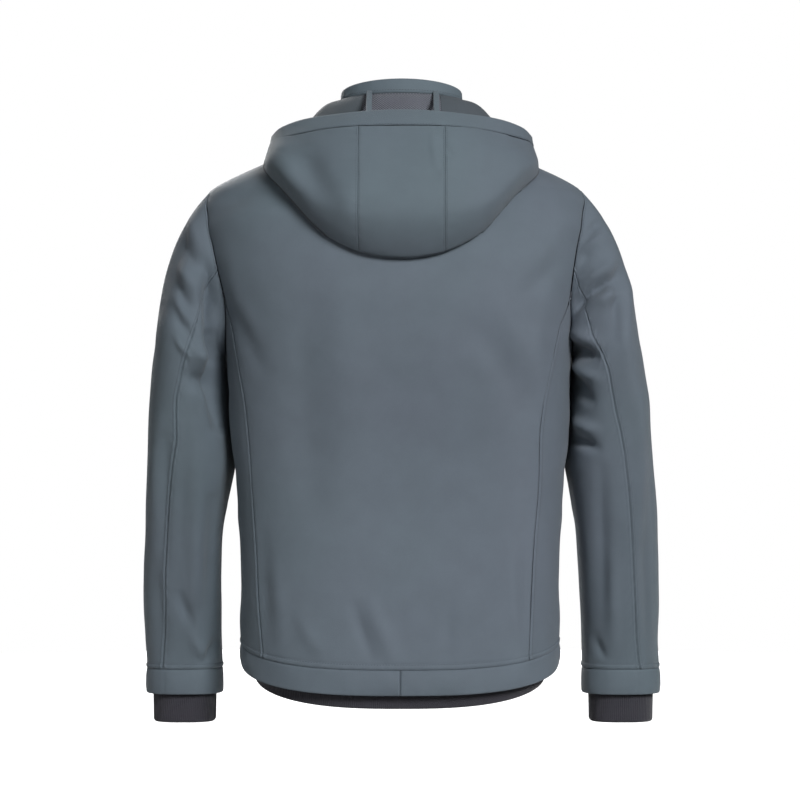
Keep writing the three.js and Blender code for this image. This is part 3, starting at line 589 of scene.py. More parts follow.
def report(words):
    print("jacket:", words)


# Shader maths: a Value wraps a socket, and its operators add Math nodes
class Value:
    def __init__(self, look, socket):
        self.look = look
        self.socket = socket

    def math(self, operation, *values):
        return self.look.node("ShaderNodeMath", {"operation": operation}, dict(enumerate(values)))

    def __add__(self, other):
        return self.math("ADD", self, other)

    def __sub__(self, other):
        return self.math("SUBTRACT", self, other)

    def __mul__(self, other):
        return self.math("MULTIPLY", self, other)

    __radd__ = __add__

    def sine(self):
        return self.math("SINE", self)


class Look:
    def __init__(self, name):
        self.material = bpy.data.materials.new(name)
        self.material.use_nodes = True
        self.tree = self.material.node_tree
        self.shader = self.tree.nodes["Principled BSDF"]

    def node(self, kind, settings, values, output=0):
        made = self.tree.nodes.new(kind)
        for key, value in settings.items():
            setattr(made, key, value)
        for key, value in values.items():
            self.feed(made.inputs[key], value)
        return Value(self, made.outputs[output])

    def feed(self, socket, value):
        if isinstance(value, Value):
            self.tree.links.new(value.socket, socket)
        else:
            socket.default_value = value

    def place(self, source="Object"):
        return self.node("ShaderNodeTexCoord", {}, {}, source)

    def parts(self, vector):
        made = self.node("ShaderNodeSeparateXYZ", {}, {0: vector})
        outputs = made.socket.node.outputs
        return [Value(self, outputs[i]) for i in range(3)]

    def noise(self, vector, scale, detail=2, rough=0.5):
        values = {"Vector": vector, "Scale": scale, "Detail": detail, "Roughness": rough}
        return self.node("ShaderNodeTexNoise", {}, values, "Fac")

    def blend(self, factor, low, high):
        return self.node("ShaderNodeMix", {"data_type": "RGBA"}, {0: factor, 6: low, 7: high}, 2)

    def bump(self, height, distance, strength):
        values = {"Height": height, "Distance": distance, "Strength": strength}
        self.feed(self.shader.inputs["Normal"], self.node("ShaderNodeBump", {}, values))

    def set(self, values):
        for key, value in values.items():
            self.feed(self.shader.inputs[key], value)


def colour(rgb, share=1.0):
    return (rgb[0] * share, rgb[1] * share, rgb[2] * share, 1)


def wovenCloth(name, s):  # a woven or knitted face: threads from the UV in metres, mottling from the place
    look = Look(name)
    place = look.place()
    u, v, _ = look.parts(look.place("UV"))
    across = (u * (2 * math.pi / s["pitch"][0])).sine()
    down = (v * (2 * math.pi / s["pitch"][1])).sine()
    threads = across * down if s["plainWeave"] else across * 0.75 + down * 0.25
    fine = look.noise(place, s["grain"], 3, 0.6)
    broad = look.noise(place, 34, 3, 0.55)
    factor = 0.5 + (fine - 0.5) * s["melange"] + (broad - 0.5) * s["mottle"] + threads * s["shade"]
    hue = look.noise(place, 3.4)
    cool = [level * share for level, share in zip(s["rgb"], (0.9, 1.02, 0.96))]
    warm = [level * share for level, share in zip(s["rgb"], (1.09, 0.975, 1.06))]
    low = look.blend(hue, colour(cool, 1 - s["range"]), colour(warm, 1 - s["range"]))
    high = look.blend(hue, colour(cool, 1 + s["range"]), colour(warm, 1 + s["range"]))
    look.set({
        "Base Color": look.blend(factor, low, high),
        "Roughness": s["rough"] + (fine - 0.5) * 0.16,
        "Sheen Weight": s["sheen"],
        "Sheen Roughness": 0.45,
        "Specular IOR Level": s["specular"],
    })
    look.bump(threads * s["relief"] + (fine - 0.5) * 0.9, s["depth"], 0.8)
    return look.material


softshell = {
    "rgb": (0.115, 0.147, 0.174), "pitch": (0.0011, 0.0011), "plainWeave": True, "grain": 1500,
    "melange": 0.9, "mottle": 0.55, "shade": 0.08, "range": 0.16, "rough": 0.66, "sheen": 0.12,
    "specular": 0.32, "relief": 0.5, "depth": 0.00022,
}
looks = {
    "shell": wovenCloth("slateSoftshell", softshell),
    "fleece": wovenCloth("greyFleece", {
        **softshell, "rgb": (0.055, 0.062, 0.072), "grain": 620, "melange": 1.3, "rough": 0.92,
        "specular": 0.1, "sheen": 0.25, "depth": 0.0006, "relief": 0.1,
    }),
    "darkKnit": wovenCloth("darkRibKnit", {
        **softshell, "rgb": (0.047, 0.046, 0.056), "pitch": (0.0024, 0.0016), "plainWeave": False,
        "shade": 0.15, "rough": 0.88, "specular": 0.15, "sheen": 0.2, "relief": 1.0, "depth": 0.0004,
    }),
    "meshKnit": wovenCloth("melangeMesh", {
        **softshell, "rgb": (0.125, 0.13, 0.155), "pitch": (0.0036, 0.003), "shade": 0.7, "range": 0.4,
        "rough": 0.85, "specular": 0.15, "relief": 1.2, "depth": 0.0005,
    }),
    # A darker copy of the softshell, coloured like the shell in shade: painted shade on the collar stand,
    # and the dark lining inside the hood and on the seam tapes
    "darkLining": wovenCloth("darkLining", {
        **softshell, "rgb": (0.072, 0.086, 0.1), "pitch": (0.0018, 0.0014), "plainWeave": False,
        "shade": 0.15, "rough": 0.8, "depth": 0.0003,
    }),
    "zipTape": wovenCloth("wovenTape", {
        **softshell, "rgb": (0.042, 0.047, 0.055), "pitch": (0.0014, 0.0009), "plainWeave": False,
        "shade": 0.3, "rough": 0.8, "depth": 0.0003,
    }),
}


def plainLook(name, s):  # thread, moulded teeth and coated metal
    look = Look(name)
    place = look.place()
    grain = look.noise(place, s["grain"])
    wear = look.noise(place, 260, 4, 0.7)
    look.set({
        "Base Color": look.blend(wear, colour(s["rgb"], 0.85), colour(s["rgb"], 1.2)),
        "Roughness": s["rough"] + (wear - 0.5) * 0.2,
        "Metallic": s["metal"],
    })
    look.bump(grain, s["depth"], 0.6)
    return look.material


looks["thread"] = plainLook("slateThread", {
    "rgb": (0.045, 0.055, 0.068), "rough": 0.6, "metal": 0.0, "grain": 4000, "depth": 0.0002,
})
looks["teeth"] = plainLook("mouldedTeeth", {
    "rgb": (0.05, 0.055, 0.062), "rough": 0.42, "metal": 0.0, "grain": 900, "depth": 0.00005,
})
looks["metal"] = plainLook("coatedMetal", {
    "rgb": (0.13, 0.14, 0.15), "rough": 0.34, "metal": 0.85, "grain": 1200, "depth": 0.00005,
})
report("materials made")


def link(thing):
    bpy.context.scene.collection.objects.link(thing)


def addPiece(name, bm, *materials):
    mesh = bpy.data.meshes.new(name)
    bm.to_mesh(mesh)
    bm.free()
    for material in materials:
        mesh.materials.append(material)
    piece = bpy.data.objects.new(name, mesh)
    link(piece)
    return piece


def addModifier(piece, kind, **settings):
    made = piece.modifiers.new(kind.title(), kind)
    for key, value in settings.items():
        setattr(made, key, value)


finish = {"weldNear": 2e-5, "bevelFrom": math.radians(62), "strap": 0.012}  # a strap is no sheet


def clothPiece(
    name, points, outward, look, inside, node, seams=None, relief=0, slack=0.5, fade=1.0, wall=cloth,
    ring=False, rounding=0.55, rim=0,
):
    dressed = dress(points, outward, seams, relief, slack, fade) if seams else points
    points = dressed[:, ::-1] if outward < 0 else dressed
    rows, columns = points.shape[:2]
    bm = bmesh.new()
    bmesh.ops.create_grid(bm, x_segments=columns - 1, y_segments=rows - 1, size=0.5, calc_uvs=False)
    for vert, place in zip(bm.verts, points.reshape(-1, 3) * mm):
        vert.co = place
    piece = addPiece(name, bm, looks[look], looks[inside])
    mesh = piece.data
    across, down = lengthsAlong(points, 1) * mm, lengthsAlong(points, 0) * mm
    corners = np.empty(len(mesh.loops), dtype=np.int32)
    mesh.loops.foreach_get("vertex_index", corners)
    uv = np.stack([across.reshape(-1)[corners], down.reshape(-1)[corners]], axis=-1)
    mesh.uv_layers.new(name="cloth").data.foreach_set("uv", uv.reshape(-1))
    mesh.shade_smooth()
    if ring:
        addModifier(piece, "WELD", merge_threshold=finish["weldNear"])
    addModifier(
        piece, "SOLIDIFY", thickness=wall * mm, offset=-1, material_offset=1, material_offset_rim=rim,
    )
    addModifier(
        piece, "BEVEL", width=rounding * mm, segments=2, limit_method="ANGLE",
        angle_limit=finish["bevelFrom"],
    )
    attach(piece, "jacket")
    if node:
        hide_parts(node)
    cells = np.linalg.norm(np.cross(np.diff(points, axis=0)[:, :-1], np.diff(points, axis=1)[:-1]), axis=-1)
    flat = (across[:, -1].max(), down[-1].max())
    area = min(cells.sum() * mm * mm, flat[0] * flat[1])
    report(f"{name} cut {flat[0] * 100:.0f} x {flat[1] * 100:.0f} cm, {area * 10000:.0f} cm2")
    return dressed


stitchLines = {}


def pointAt(line, along, at):  # the point at a length along a line of points
    return [np.interp(at, along, line[:, k]) for k in range(3)]


def lineAt(points, outward, edge, distance):  # a line on the cloth at a distance from one of its edges
    if edge in ("top", "bottom"):
        points = points.swapaxes(0, 1)
    if edge in ("right", "bottom"):
        points = points[:, ::-1]
    normals = gridNormals(points, 1)
    away = lengthsAlong(points, 1)
    line = np.array([pointAt(*row, distance) for row in zip(points, away)])
    normal = np.array([pointAt(*row, distance) for row in zip(normals, away)])
    flips = (edge in ("top", "bottom")) + (edge in ("right", "bottom"))
    return line, unit(normal) * outward * (-1) ** flips


def stitchesOn(group, points, outward, edge, distance, start=0.0, end=0.0):
    line, normal = lineAt(points, outward, edge, distance)
    stitchLines.setdefault(group, []).append((line, normal, start, end))


tape = {"half": 4.5, "depth": 2.25, "wall": 0.4, "columns": 4, "rounding": 0.1}


def tapeUnder(name, points, outward, edge):  # a tape behind a seam closes the gap between two pieces
    line, normal = lineAt(points, outward, edge, 0.0)
    away = unit(lineAt(points, outward, edge, 3.0)[0] - line)
    offsets = np.linspace(-tape["half"], tape["half"], tape["columns"] + 1)
    grid = (line - normal * tape["depth"])[:, None] + away[:, None] * offsets[None, :, None]
    facing = (gridNormals(grid, 1) * normal[:, None]).sum()
    clothPiece(
        name, grid, 1 if facing > 0 else -1, "darkLining", "darkLining", None, wall=tape["wall"],
        rounding=tape["rounding"],
    )


stitch = {"pitch": 3.5, "length": 2.6, "width": 0.75, "height": 0.5}


def placed(middle, axes, size):  # a small shape of that size in millimetres, turned to three axes
    turn = Matrix(axes).transposed().to_4x4()
    return Matrix.Translation(middle * mm) @ turn @ Matrix.Scale(mm, 4) @ Matrix.Diagonal((*size, 1))


def sewStitches():
    for group, lines in stitchLines.items():
        bm = bmesh.new()
        for line, normal, start, end in lines:
            length = lengthsAlong(line[None], 1)[0]
            count = int((length[-1] - start - end) / stitch["pitch"])
            for at in start + (np.arange(count) + 0.5) * stitch["pitch"]:
                middle = Vector(pointAt(line, length, at))
                along = (Vector(pointAt(line, length, at + 0.8)) - middle).normalized()
                out = Vector(pointAt(normal, length, at)).normalized()
                axes = (along, out.cross(along).normalized(), out)
                size = (stitch["length"] / 2, stitch["width"] / 2, stitch["height"] / 2)
                bmesh.ops.create_icosphere(bm, subdivisions=1, radius=1, matrix=placed(middle, axes, size))
        piece = addPiece(group, bm, looks["thread"])
        piece.data.shade_smooth()
        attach(piece, "jacket")
    report("stitches sewn")


# Body panels. Folds are placed by x and drop
backPanel = {
    "rows": {"shoulder": 18, "armhole": 50, "side": 100}, "columns": 90,
    "folds": [
        [223, 132, 144, 116, -4, 14, 3.0], [222, 106, 165, 87, -2, 11, -2.0],
        [112, 211, 109, 480, 5, 22, -2.4], [70, 221, 64, 437, -5, 24, 2.2],
        [-106, 219, -175, 331, -7, 17, 2.6], [-89, 257, -149, 365, -7, 15, -1.6],
        [-199, 132, -163, 176, 2, 12, 2.2], [-192, 176, -144, 221, 2, 11, -1.8],
        [36, 581, 8, 648, 2, 10, 2.4], [55, 588, 34, 648, 1, 7, -2.0], [120, 605, 94, 643, 2, 9, 1.6],
        [-62, 593, -55, 641, 1, 9, -1.5], [-187, 595, -177, 629, 0, 6, -2.6],
        [165, 509, 158, 629, 1, 10, -1.6], [151, 533, 142, 629, 1, 10, 1.6],
        [197, 221, 165, 307, 5, 11, -2.0], [206, 176, 177, 257, 5, 11, 2.2],
        [-134, 533, -142, 629, 1, 10, 1.8], [-149, 509, -151, 605, 1, 9, -1.6],
        [-174, 221, -161, 317, 2, 10, 1.8],
    ],
}
sideSettings = {
    "rows": 90, "columns": 16, "width": 112.0, "bend": 152,
    "folds": [
        [-40, 420, 60, 445, 8, 18, -1.2], [-50, 490, 50, 475, -6, 16, 0.9],
        [-30, 600, -22, 640, 2, 10, -1.6], [20, 585, 28, 640, 2, 11, 1.6], [-55, 350, 30, 330, 8, 16, -2.0],
    ],
}
frontSettings = {
    "rows": {"shoulder": 16, "armhole": 40, "side": 84}, "columns": 36,
    1: [
        [205, 238, 110, 330, -14, 24, -3.0], [190, 270, 96, 372, -12, 20, 2.4],
        [168, 190, 84, 236, 10, 26, -1.8], [180, 432, 86, 462, 10, 24, -2.6],
        [178, 470, 70, 520, 8, 26, 2.2], [60, 570, 66, 636, 4, 18, -1.8], [128, 585, 136, 636, 4, 16, 1.6],
        [40, 130, 30, 250, -6, 26, 1.6],
    ],
    -1: [
        [-203, 240, -118, 322, 14, 22, -2.8], [-188, 262, -90, 360, 12, 24, 2.2],
        [-160, 180, -90, 224, -10, 24, -1.6], [-176, 425, -100, 452, -8, 22, -2.4],
        [-172, 486, -60, 500, -10, 26, 2.4], [-70, 560, -78, 636, -4, 20, -2.0],
        [-132, 590, -140, 636, 4, 14, 1.4], [-36, 140, -44, 262, 6, 24, 1.5],
    ],
}


def byFront(points):
    return points[..., 0], -points[..., 2]


points = backGrid(backPanel)
seams = {"left": "joined", "right": "joined", "bottom": "band", "top": "plain"}
folds = foldRelief(*byFront(points), backPanel["folds"])
dressed = clothPiece("backPanel", points, -1, "shell", "fleece", "back_panel", seams, folds, 0.7)
tapeUnder("hemTapeBack", dressed, -1, "bottom")
stitchesOn("hemStitches", dressed, -1, "bottom", bandStitch)
for side, name, low in sides:
    points = frontGrid(side, frontSettings)
    folds = foldRelief(*byFront(points), frontSettings[side])
    seams = {"left": "joined", "right": "band", "bottom": "band", "top": "plain"}
    dressed = clothPiece(
        "frontPanel" + name, points, side, "shell", "fleece", "front_panel_" + low, seams, folds, 0.7,
    )
    tapeUnder("hemTapeFront" + name, dressed, side, "bottom")
    tapeUnder("shoulderTape" + name, dressed[:28], side, "left")  # as far as the armhole
    stitchesOn("hemStitches", dressed, side, "bottom", bandStitch)
    stitchesOn("zipStitches", dressed, side, "right", bandStitch)
    points = sideGrid(side, sideSettings)
    down = lengthsAlong(points, 0)
    folds = foldRelief(points[..., 1], -points[..., 2], sideSettings["folds"]) * ease(down / 60)
    seams = {"left": "side", "right": "side", "bottom": "band", "top": "joined"}
    dressed = clothPiece(
        "sidePanel" + name, points, side, "shell", "fleece", "side_panel_" + low, seams, folds,
        fade=ease(down / 30),
    )
    for edge in ("left", "right", "bottom"):
        tapeUnder("sideTape" + name + edge.title(), dressed[12:], side, edge)  # clear of the armhole
    for edge in ("left", "right"):
        stitchesOn("sideStitches", dressed, side, edge, panelStitch, start=12)
    stitchesOn("hemStitches", dressed, side, "bottom", bandStitch)
report("body panels made")

# Sleeves. Folds are placed by degrees round the sleeve and share of its length
sleeveSettings = {
    "rows": 168, "columns": 48, "gain": 1.7, "silhouette": 0.12,
    "seen": {  # from behind: x and drop
        1: [
            [270, 96, 286, 220, 4, 22, -4.4], [288, 228, 232, 226, 0, 20, -1.8],
            [268, 150, 239, 181, 1, 10, -2.6], [272, 176, 246, 208, 1, 9, 1.8],
            [278, 193, 252, 228, 2, 8, -1.8], [276, 215, 255, 245, 1, 7, 1.6],
            [274, 235, 252, 265, 1, 7, -1.8], [271, 265, 257, 287, 1, 4, 1.6],
            [250, 279, 230, 294, 0, 12, 4.0], [256, 313, 226, 324, 1, 11, -4.2],
            [231, 180, 222, 290, 1, 10, -8.0], [263, 101, 251, 144, 2, 10, 1.6],
            [224, 266, 221, 372, 1, 9, -8.0], [295, 366, 300, 489, 1, 10, 2.0],
            [287, 390, 293, 538, 1, 9, -2.2], [246, 378, 251, 587, 2, 12, 2.4],
            [230, 464, 236, 636, 1, 9, -2.4], [271, 582, 257, 622, 1, 6, -2.2],
            [244, 668, 230, 643, 1, 5, -3.0], [256, 636, 239, 666, 1, 6, 1.8],
            [302, 538, 295, 649, 1, 9, -1.5],
        ],
        -1: [
            [-218, 148, -250, 122, -2, 6, -2.8], [-217, 164, -251, 139, -1, 7, 2.2],
            [-213, 176, -235, 159, 0, 5, -2.2], [-225, 197, -262, 176, -1, 7, 3.0],
            [-229, 212, -263, 192, -1, 6, -4.6], [-235, 225, -272, 208, -1, 7, 3.0],
            [-229, 212, -211, 233, 1, 6, -4.0], [-211, 255, -236, 271, 1, 9, 4.0],
            [-211, 276, -235, 289, 1, 7, -5.0], [-212, 293, -236, 315, 1, 7, 3.6],
            [-211, 311, -231, 342, 1, 7, -4.2], [-211, 363, -238, 379, 1, 7, 3.2],
            [-211, 388, -238, 399, 0, 6, -4.2], [-268, 175, -261, 267, 2, 7, -2.8],
            [-282, 187, -276, 282, 2, 7, 1.8], [-295, 341, -300, 513, 1, 10, 2.0],
            [-246, 427, -254, 612, 2, 10, -2.0], [-303, 439, -307, 636, 1, 7, -1.6],
            [-261, 538, -266, 649, 1, 9, 1.6], [-243, 636, -254, 661, 1, 5, -1.8],
        ],
    },
    "round": {  # elsewhere: degrees round the sleeve and share of its length
        1: [
            [203, 0.15, 205, 0.63, 0, 26, 6.6], [250, 0.45, 310, 0.48, 5, 20, -3.5],
            [240, 0.3, 290, 0.26, -5, 20, -3], [330, 0.3, 372, 0.36, 6, 18, -2.2],
            [300, 0.52, 350, 0.56, 6, 18, -2.6], [290, 0.7, 340, 0.78, 6, 20, 2.2],
            [262, 0.84, 300, 0.9, 4, 12, -2.2],
        ],
        -1: [
            [203, 0.15, 205, 0.63, 0, 26, 6.6], [245, 0.42, 305, 0.46, 5, 20, -3.5],
            [240, 0.28, 292, 0.24, -5, 20, -3], [335, 0.28, 372, 0.34, 6, 18, -2.2],
            [300, 0.55, 350, 0.6, -6, 18, -2.6], [290, 0.72, 335, 0.8, 6, 20, 2.2],
            [255, 0.86, 296, 0.91, 4, 12, -2.2],
        ],
    },
}


def sleeveFolds(side, points, turn, along):
    calm = ease(along / 0.05) * ease((1 - along) / 0.03)
    folds = [
        [a * turnWidth, b * sleeveLength, c * turnWidth, d * sleeveLength, bow, width, rise]
        for a, b, c, d, bow, width, rise in sleeveSettings["round"][side]
    ]
    around = turn % 360 * turnWidth
    over = foldRelief(around, along * sleeveLength, folds)
    over = over + foldRelief(around + 360 * turnWidth, along * sleeveLength, folds)
    seen = foldRelief(*byFront(points), sleeveSettings["seen"][side])
    facing = ease((sind(turn) - sleeveSettings["silhouette"]) / 0.5)
    return calm * (over + seen * facing * sleeveSettings["gain"])


for side, name, low in sides:
    for isTop in (True, False):
        part = "topSleeve" if isTop else "underSleeve"
        points, turn, along = sleeveGrid(side, sleeveSettings, isTop)
        outward = side if isTop else -side
        seams = {"left": "sleeve", "right": "plain", "top": "soft" if isTop else "joined", "bottom": "band"}
        folds = sleeveFolds(side, points, turn, along)
        node = ("top_sleeve_" if isTop else "under_sleeve_") + low
        dressed = clothPiece(part + name, points, outward, "shell", "fleece", node, seams, folds, 0.6)
        if isTop:
            stitchesOn("sleeveStitches" + name, dressed, outward, "top", softStitch, start=7, end=7)
        stitchesOn("sleeveStitches" + name, dressed, outward, "bottom", bandStitch)
        tapeUnder("cuffTape" + part.title() + name, dressed, outward, "bottom")
        if isTop:
            stitchesOn("sleeveStitches" + name, dressed, outward, "left", panelStitch, start=8, end=3)
            tapeUnder("elbowTape" + name, dressed, outward, "left")
            tapeUnder("sleeveTape" + name, dressed, outward, "right")
report("sleeves made")

# Cuffs: a stitched band over a narrower rib knit
cuffs = {
    "columns": 150, "ribs": 92, "ribHeight": 0.1, "bulge": 1.1, "seamTurn": {1: 63, -1: 69},
    "seamDepth": 0.6,
    "knit": [  # drop, and how far inside the sleeve's ring
        [innerCuffTop, cloth + 0.4], [cuffEdge - 1, 8.6], [726, 9], [innerCuffEdge - 3, 9.2],
        [innerCuffEdge, 10.6],
    ],
}
cuffDrops = fineEnds(cuffSeam + seamGap, cuffEdge)
knitDrops = np.linspace(innerCuffTop, innerCuffEdge - 4, 16)
knitDrops = np.concatenate([knitDrops, innerCuffEdge - np.array([3, 2, 1, 0.4, 0])])
for side, name, low in sides:
    turn = np.linspace(0, 360, cuffs["columns"] + 1)[None, :]
    points = cuffGrid(side, cuffDrops, np.zeros(len(cuffDrops)), cuffs["columns"])
    bulge = cuffs["bulge"] * np.sin(np.pi * (cuffDrops - cuffSeam) / (cuffEdge - cuffSeam))[:, None]
    wave = 0.5 * sind(turn * 5 + 40) + 0.35 * sind(turn * 11)
    seam = -cuffs["seamDepth"] * np.exp(-((turn - cuffs["seamTurn"][side]) / 1.2) ** 2)
    clothPiece(
        "cuffBand" + name, points, -side, "shell", "shell", "cuff_band_" + low,
        {"top": "plain", "bottom": "hem"}, bulge * (1 + wave * 0.4) + seam, 0, ring=True,
    )
    narrow = np.interp(knitDrops, *np.array(cuffs["knit"]).T)
    points = cuffGrid(side, knitDrops, narrow, cuffs["ribs"] * 4)
    around = np.linspace(0, 2 * math.pi * cuffs["ribs"], cuffs["ribs"] * 4 + 1)
    clothPiece(
        "innerCuff" + name, points, -side, "darkKnit", "darkKnit", "inner_cuff_" + low,
        {"bottom": "hem"}, cuffs["ribHeight"] * np.cos(around)[None, :], 0, ring=True,
    )
report("cuffs made")

# Hem bands, half a ring each from centre back to the zip
hems = {"columns": 190, "width": 540.0, "ribs": 230, "ribHeight": 0.1, "clear": 4}
for side, name, low in sides:
    drops = fineEnds(hemSeam + seamGap, hemEdge)[:, None]
    gap = nudge(180.0, drops, -seamGap / 2)
    shares = spread(np.full(len(drops), hems["width"]), hems["columns"])
    points = bodyPoint(onSide(side, mix(gap, frontEdge(drops), shares)), drops)
    along = lengthsAlong(points, 1)
    ripple = 0.5 * np.sin(along / 9.5 + 1.4 * np.sin(along / 41)) + 0.4 * np.sin(along / 17.3 + side)
    slow = 0.7 * np.sin(along / 33 + 0.9 * side) + 0.5 * np.sin(along / 58 + 2.0)
    swell = np.sin(np.pi * (drops - hemSeam) / (hemEdge - hemSeam)) * (1.1 + 1.1 * ripple + slow)
    seams = {"left": "plain", "right": "band", "top": "plain", "bottom": "hem"}
    dressed = clothPiece(
        "hemBand" + name, points, side, "shell", "shell", "hem_band_" + low, seams, swell, 0,
    )
    stitchesOn("zipStitches", dressed, side, "right", bandStitch)
    if side > 0:
        tapeUnder("hemTapeMiddle", dressed, side, "left")
    first = float(nudge(180.0, hemEdge, -seamGap / 2))
    last = float(angleAtWidth(hemEdge, tapeHalf + hems["clear"]))
    angles = np.linspace(first, last, hems["ribs"] * 2 + 1)[None, :]
    shares = np.concatenate([np.linspace(0, 0.94, 14), [0.96, 0.98, 0.99, 1]])[:, None]
    points = innerHemPoint(onSide(side, angles), shares)
    ribs = hems["ribHeight"] * np.cos(np.pi * np.arange(hems["ribs"] * 2 + 1))[None, :]
    clothPiece(
        "innerHem" + name, points, side, "darkKnit", "darkKnit", "inner_hem_" + low,
        {"bottom": "hem"}, ribs, 0,
    )
report("hem bands made")

# Collar: a stand and an upper band; the stand's outside is the darker lining material, painted shade on
# what is shell fabric
neckStart = float(frontEdge(0.0))


def collarGrid(low, high):
    heights = np.array([0, 0.012, 0.03, 0.06, 0.1, 0.15])
    middle = np.linspace(0.15, 0.85, 10)[1:-1]
    share = mix(high, low, np.concatenate([heights, middle, 1 - heights[::-1]]))[:, None]
    angle = mix(neckStart, 360 - neckStart, spread(np.full(len(share), 400.0), collar["columns"]))
    return collarPoint(angle, share)


seams = {"bottom": "plain", "top": "plain"}
points = collarGrid(0.006, collarSeam - 0.003)
# the stand's outside wears the darker material: painted shade on shell fabric
dressed = clothPiece("collarStand", points, -1, "darkLining", "fleece", "collar_stand", seams, slack=0.3)
tapeUnder("neckTape", dressed, -1, "bottom")
seams = {"top": "hem", "bottom": "plain", "left": "band", "right": "band"}
points = collarGrid(collarSeam + 0.003, 1.0)
dressed = clothPiece("collarBand", points, -1, "shell", "fleece", "collar_band", seams, slack=0.3)
tapeUnder("collarTape", dressed, -1, "bottom")
for edge, distance in (("bottom", softStitch), ("left", bandStitch), ("right", bandStitch)):
    stitchesOn("collarStitches", dressed, -1, edge, distance)
report("collar made")

# Hood: three panels outside, their lining inside, and a stitched brim
hoodSettings = {
    "rows": 54, "columns": {"centre": 30, "left": 60, "right": 60}, "brimColumns": 150, "groove": 0.6,
    "folds": [
        [120, 40, 84, 104, 4, 18, -4.2], [146, 44, 112, 90, 4, 12, 3.0], [66, 90, 58, 132, 2, 14, 1.8],
        [-40, 24, -46, 70, 2, 5, 1.2], [-52, 30, -64, 58, 1, 5, -1.2], [-58, 52, -50, 84, 1, 5, 0.9],
        [-80, 20, -128, 50, 5, 14, 1.6], [-70, 92, -112, 84, 4, 14, -1.8], [0, 20, 6, 62, 3, 24, -1.2],
        [140, 10, 150, 40, 3, 14, 1.4], [-140, 12, -150, 38, 3, 14, -1.4], [10, 40, 0, 96, 5, 28, -1.4],
    ],
}
shellShares = mix(foldAt + 0.004, brimAt, np.concatenate([
    [0, 0.003, 0.008, 0.015, 0.03], np.linspace(0.04, 0.96, hoodSettings["rows"]),
    [0.97, 0.975, 0.98, 0.985, 0.99, 0.995, 1],
]))
liningShares = mix(0, foldAt - 0.004, np.linspace(0, 1, 48))
for part, name in (("centre", "Centre"), ("left", "Left"), ("right", "Right")):
    columns = hoodSettings["columns"][part]
    points = hoodGrid(part, np.full(len(shellShares), hoodSeam), shellShares, columns)
    seams = {"top": "plain", "bottom": "turned"}
    if part != "right":
        seams["right"] = "hood"
    if part != "left":
        seams["left"] = "hood"
    if part != "centre":
        seams["left" if part == "left" else "right"] = "hem"
    folds = foldRelief(*byFront(points), hoodSettings["folds"])
    dressed = clothPiece("hood" + name, points, 1, "shell", "darkLining", "hood_" + part, seams, folds)
    for edge in ("left", "right"):
        if seams[edge] == "hood":
            stitchesOn("hoodStitches", dressed, 1, edge, hoodStitch, start=4)
            if part == "centre":
                tapeUnder("hoodTape" + edge.title(), dressed, 1, edge)
    half = mix(meshSeam, hoodSeam, liningShares / foldAt)
    points = hoodGrid(part, half, liningShares, columns // 2)
    inside, node = ("meshKnit", "lining_mesh") if part == "centre" else ("darkLining", "lining_" + part)
    seams = {"top": "plain", "bottom": "plain"}
    clothPiece("hoodLining" + name, points, 1, "shell", inside, node, seams, rim=1)
share = mix(brimAt + 0.004, 1, np.concatenate([
    [0, 0.03, 0.06, 0.1, 0.15, 0.2, 0.26], np.linspace(0.34, 0.8, 8), [0.87, 0.92, 0.95, 0.975, 0.99, 1],
]))
width = rowLengths(hoodPoint, hoodEnd, -hoodEnd, share[:, None], 40)
points = hoodPoint(mix(hoodEnd, -hoodEnd, spread(width, hoodSettings["brimColumns"])), share[:, None])
across, back = points[..., 0], points[..., 1] > 0
grooves = sum(np.exp(-(abs(across - x) / 1.1) ** 2) for x in (hoodSeam, -hoodSeam))
grooves = -hoodSettings["groove"] * grooves * back
seams = {"top": "turned", "bottom": "hem", "left": "hem", "right": "hem"}
dressed = clothPiece("hoodBrim", points, 1, "shell", "darkLining", "hood_brim", seams, grooves, 0.4)
tapeUnder("brimTape", dressed, 1, "top")
stitchesOn("hoodStitches", dressed, 1, "top", brimStitch)
report("hood made")

# Loops from the collar's seam to the brim
loops = {"width": 6.2, "wall": 1.4, 1: 37.5, -1: -44, "columns": 8, "rows": 14, "rise": 1.5}
for side, name, low in sides:
    x = loops[side]
    around = float(aroundAt(abs(x - neckLean), 1.0)) * side
    end = hoodPoint(around, 1.0) + inwardOf(hoodPoint, around, 1.0, 1, -0.01) * (cloth + 2)
    start = collarPoint(180 - math.degrees(math.asin((x - neckLean) / collar["front"])), collarSeam + 0.04)
    t = np.linspace(0, 1, loops["rows"])[:, None, None]
    line = mix(start.reshape(1, 1, 3) + [0, 2, 0], end.reshape(1, 1, 3), t)
    offset = np.linspace(-0.5, 0.5, loops["columns"] + 1) * loops["width"]
    rise = loops["rise"] * np.sin(np.pi * t[..., 0]) - 0.35 * (abs(offset) > 0.45 * loops["width"])
    points = stack(x + offset, line[..., 1], line[..., 2] + rise)
    clothPiece(
        "hoodLoop" + name, points, -1, "shell", "shell", "hood_loop_" + low, wall=loops["wall"],
        rounding=0.4,
    )
report("loops made")

# Front zip: tapes, moulded teeth, and the slider and pull from the model
zipSettings = {"pitch": 3.2, "tooth": (2.9, 1.7, 1.5), "offset": 1.25, "lift": 0.6, "rounding": 0.28}
shares = np.array([1, 0.9, 0.8, collarSeam, 0.55, 0.4, 0.25, 0.12])
drops = np.concatenate([np.array([4, 9, 15, 22, 30, 40, 51, 66]), np.linspace(80, hemEdge - 1, 120)])


def sunk(surface, inward, angle, at):
    return surface(angle, at) + inward(angle, at) * tapeSink


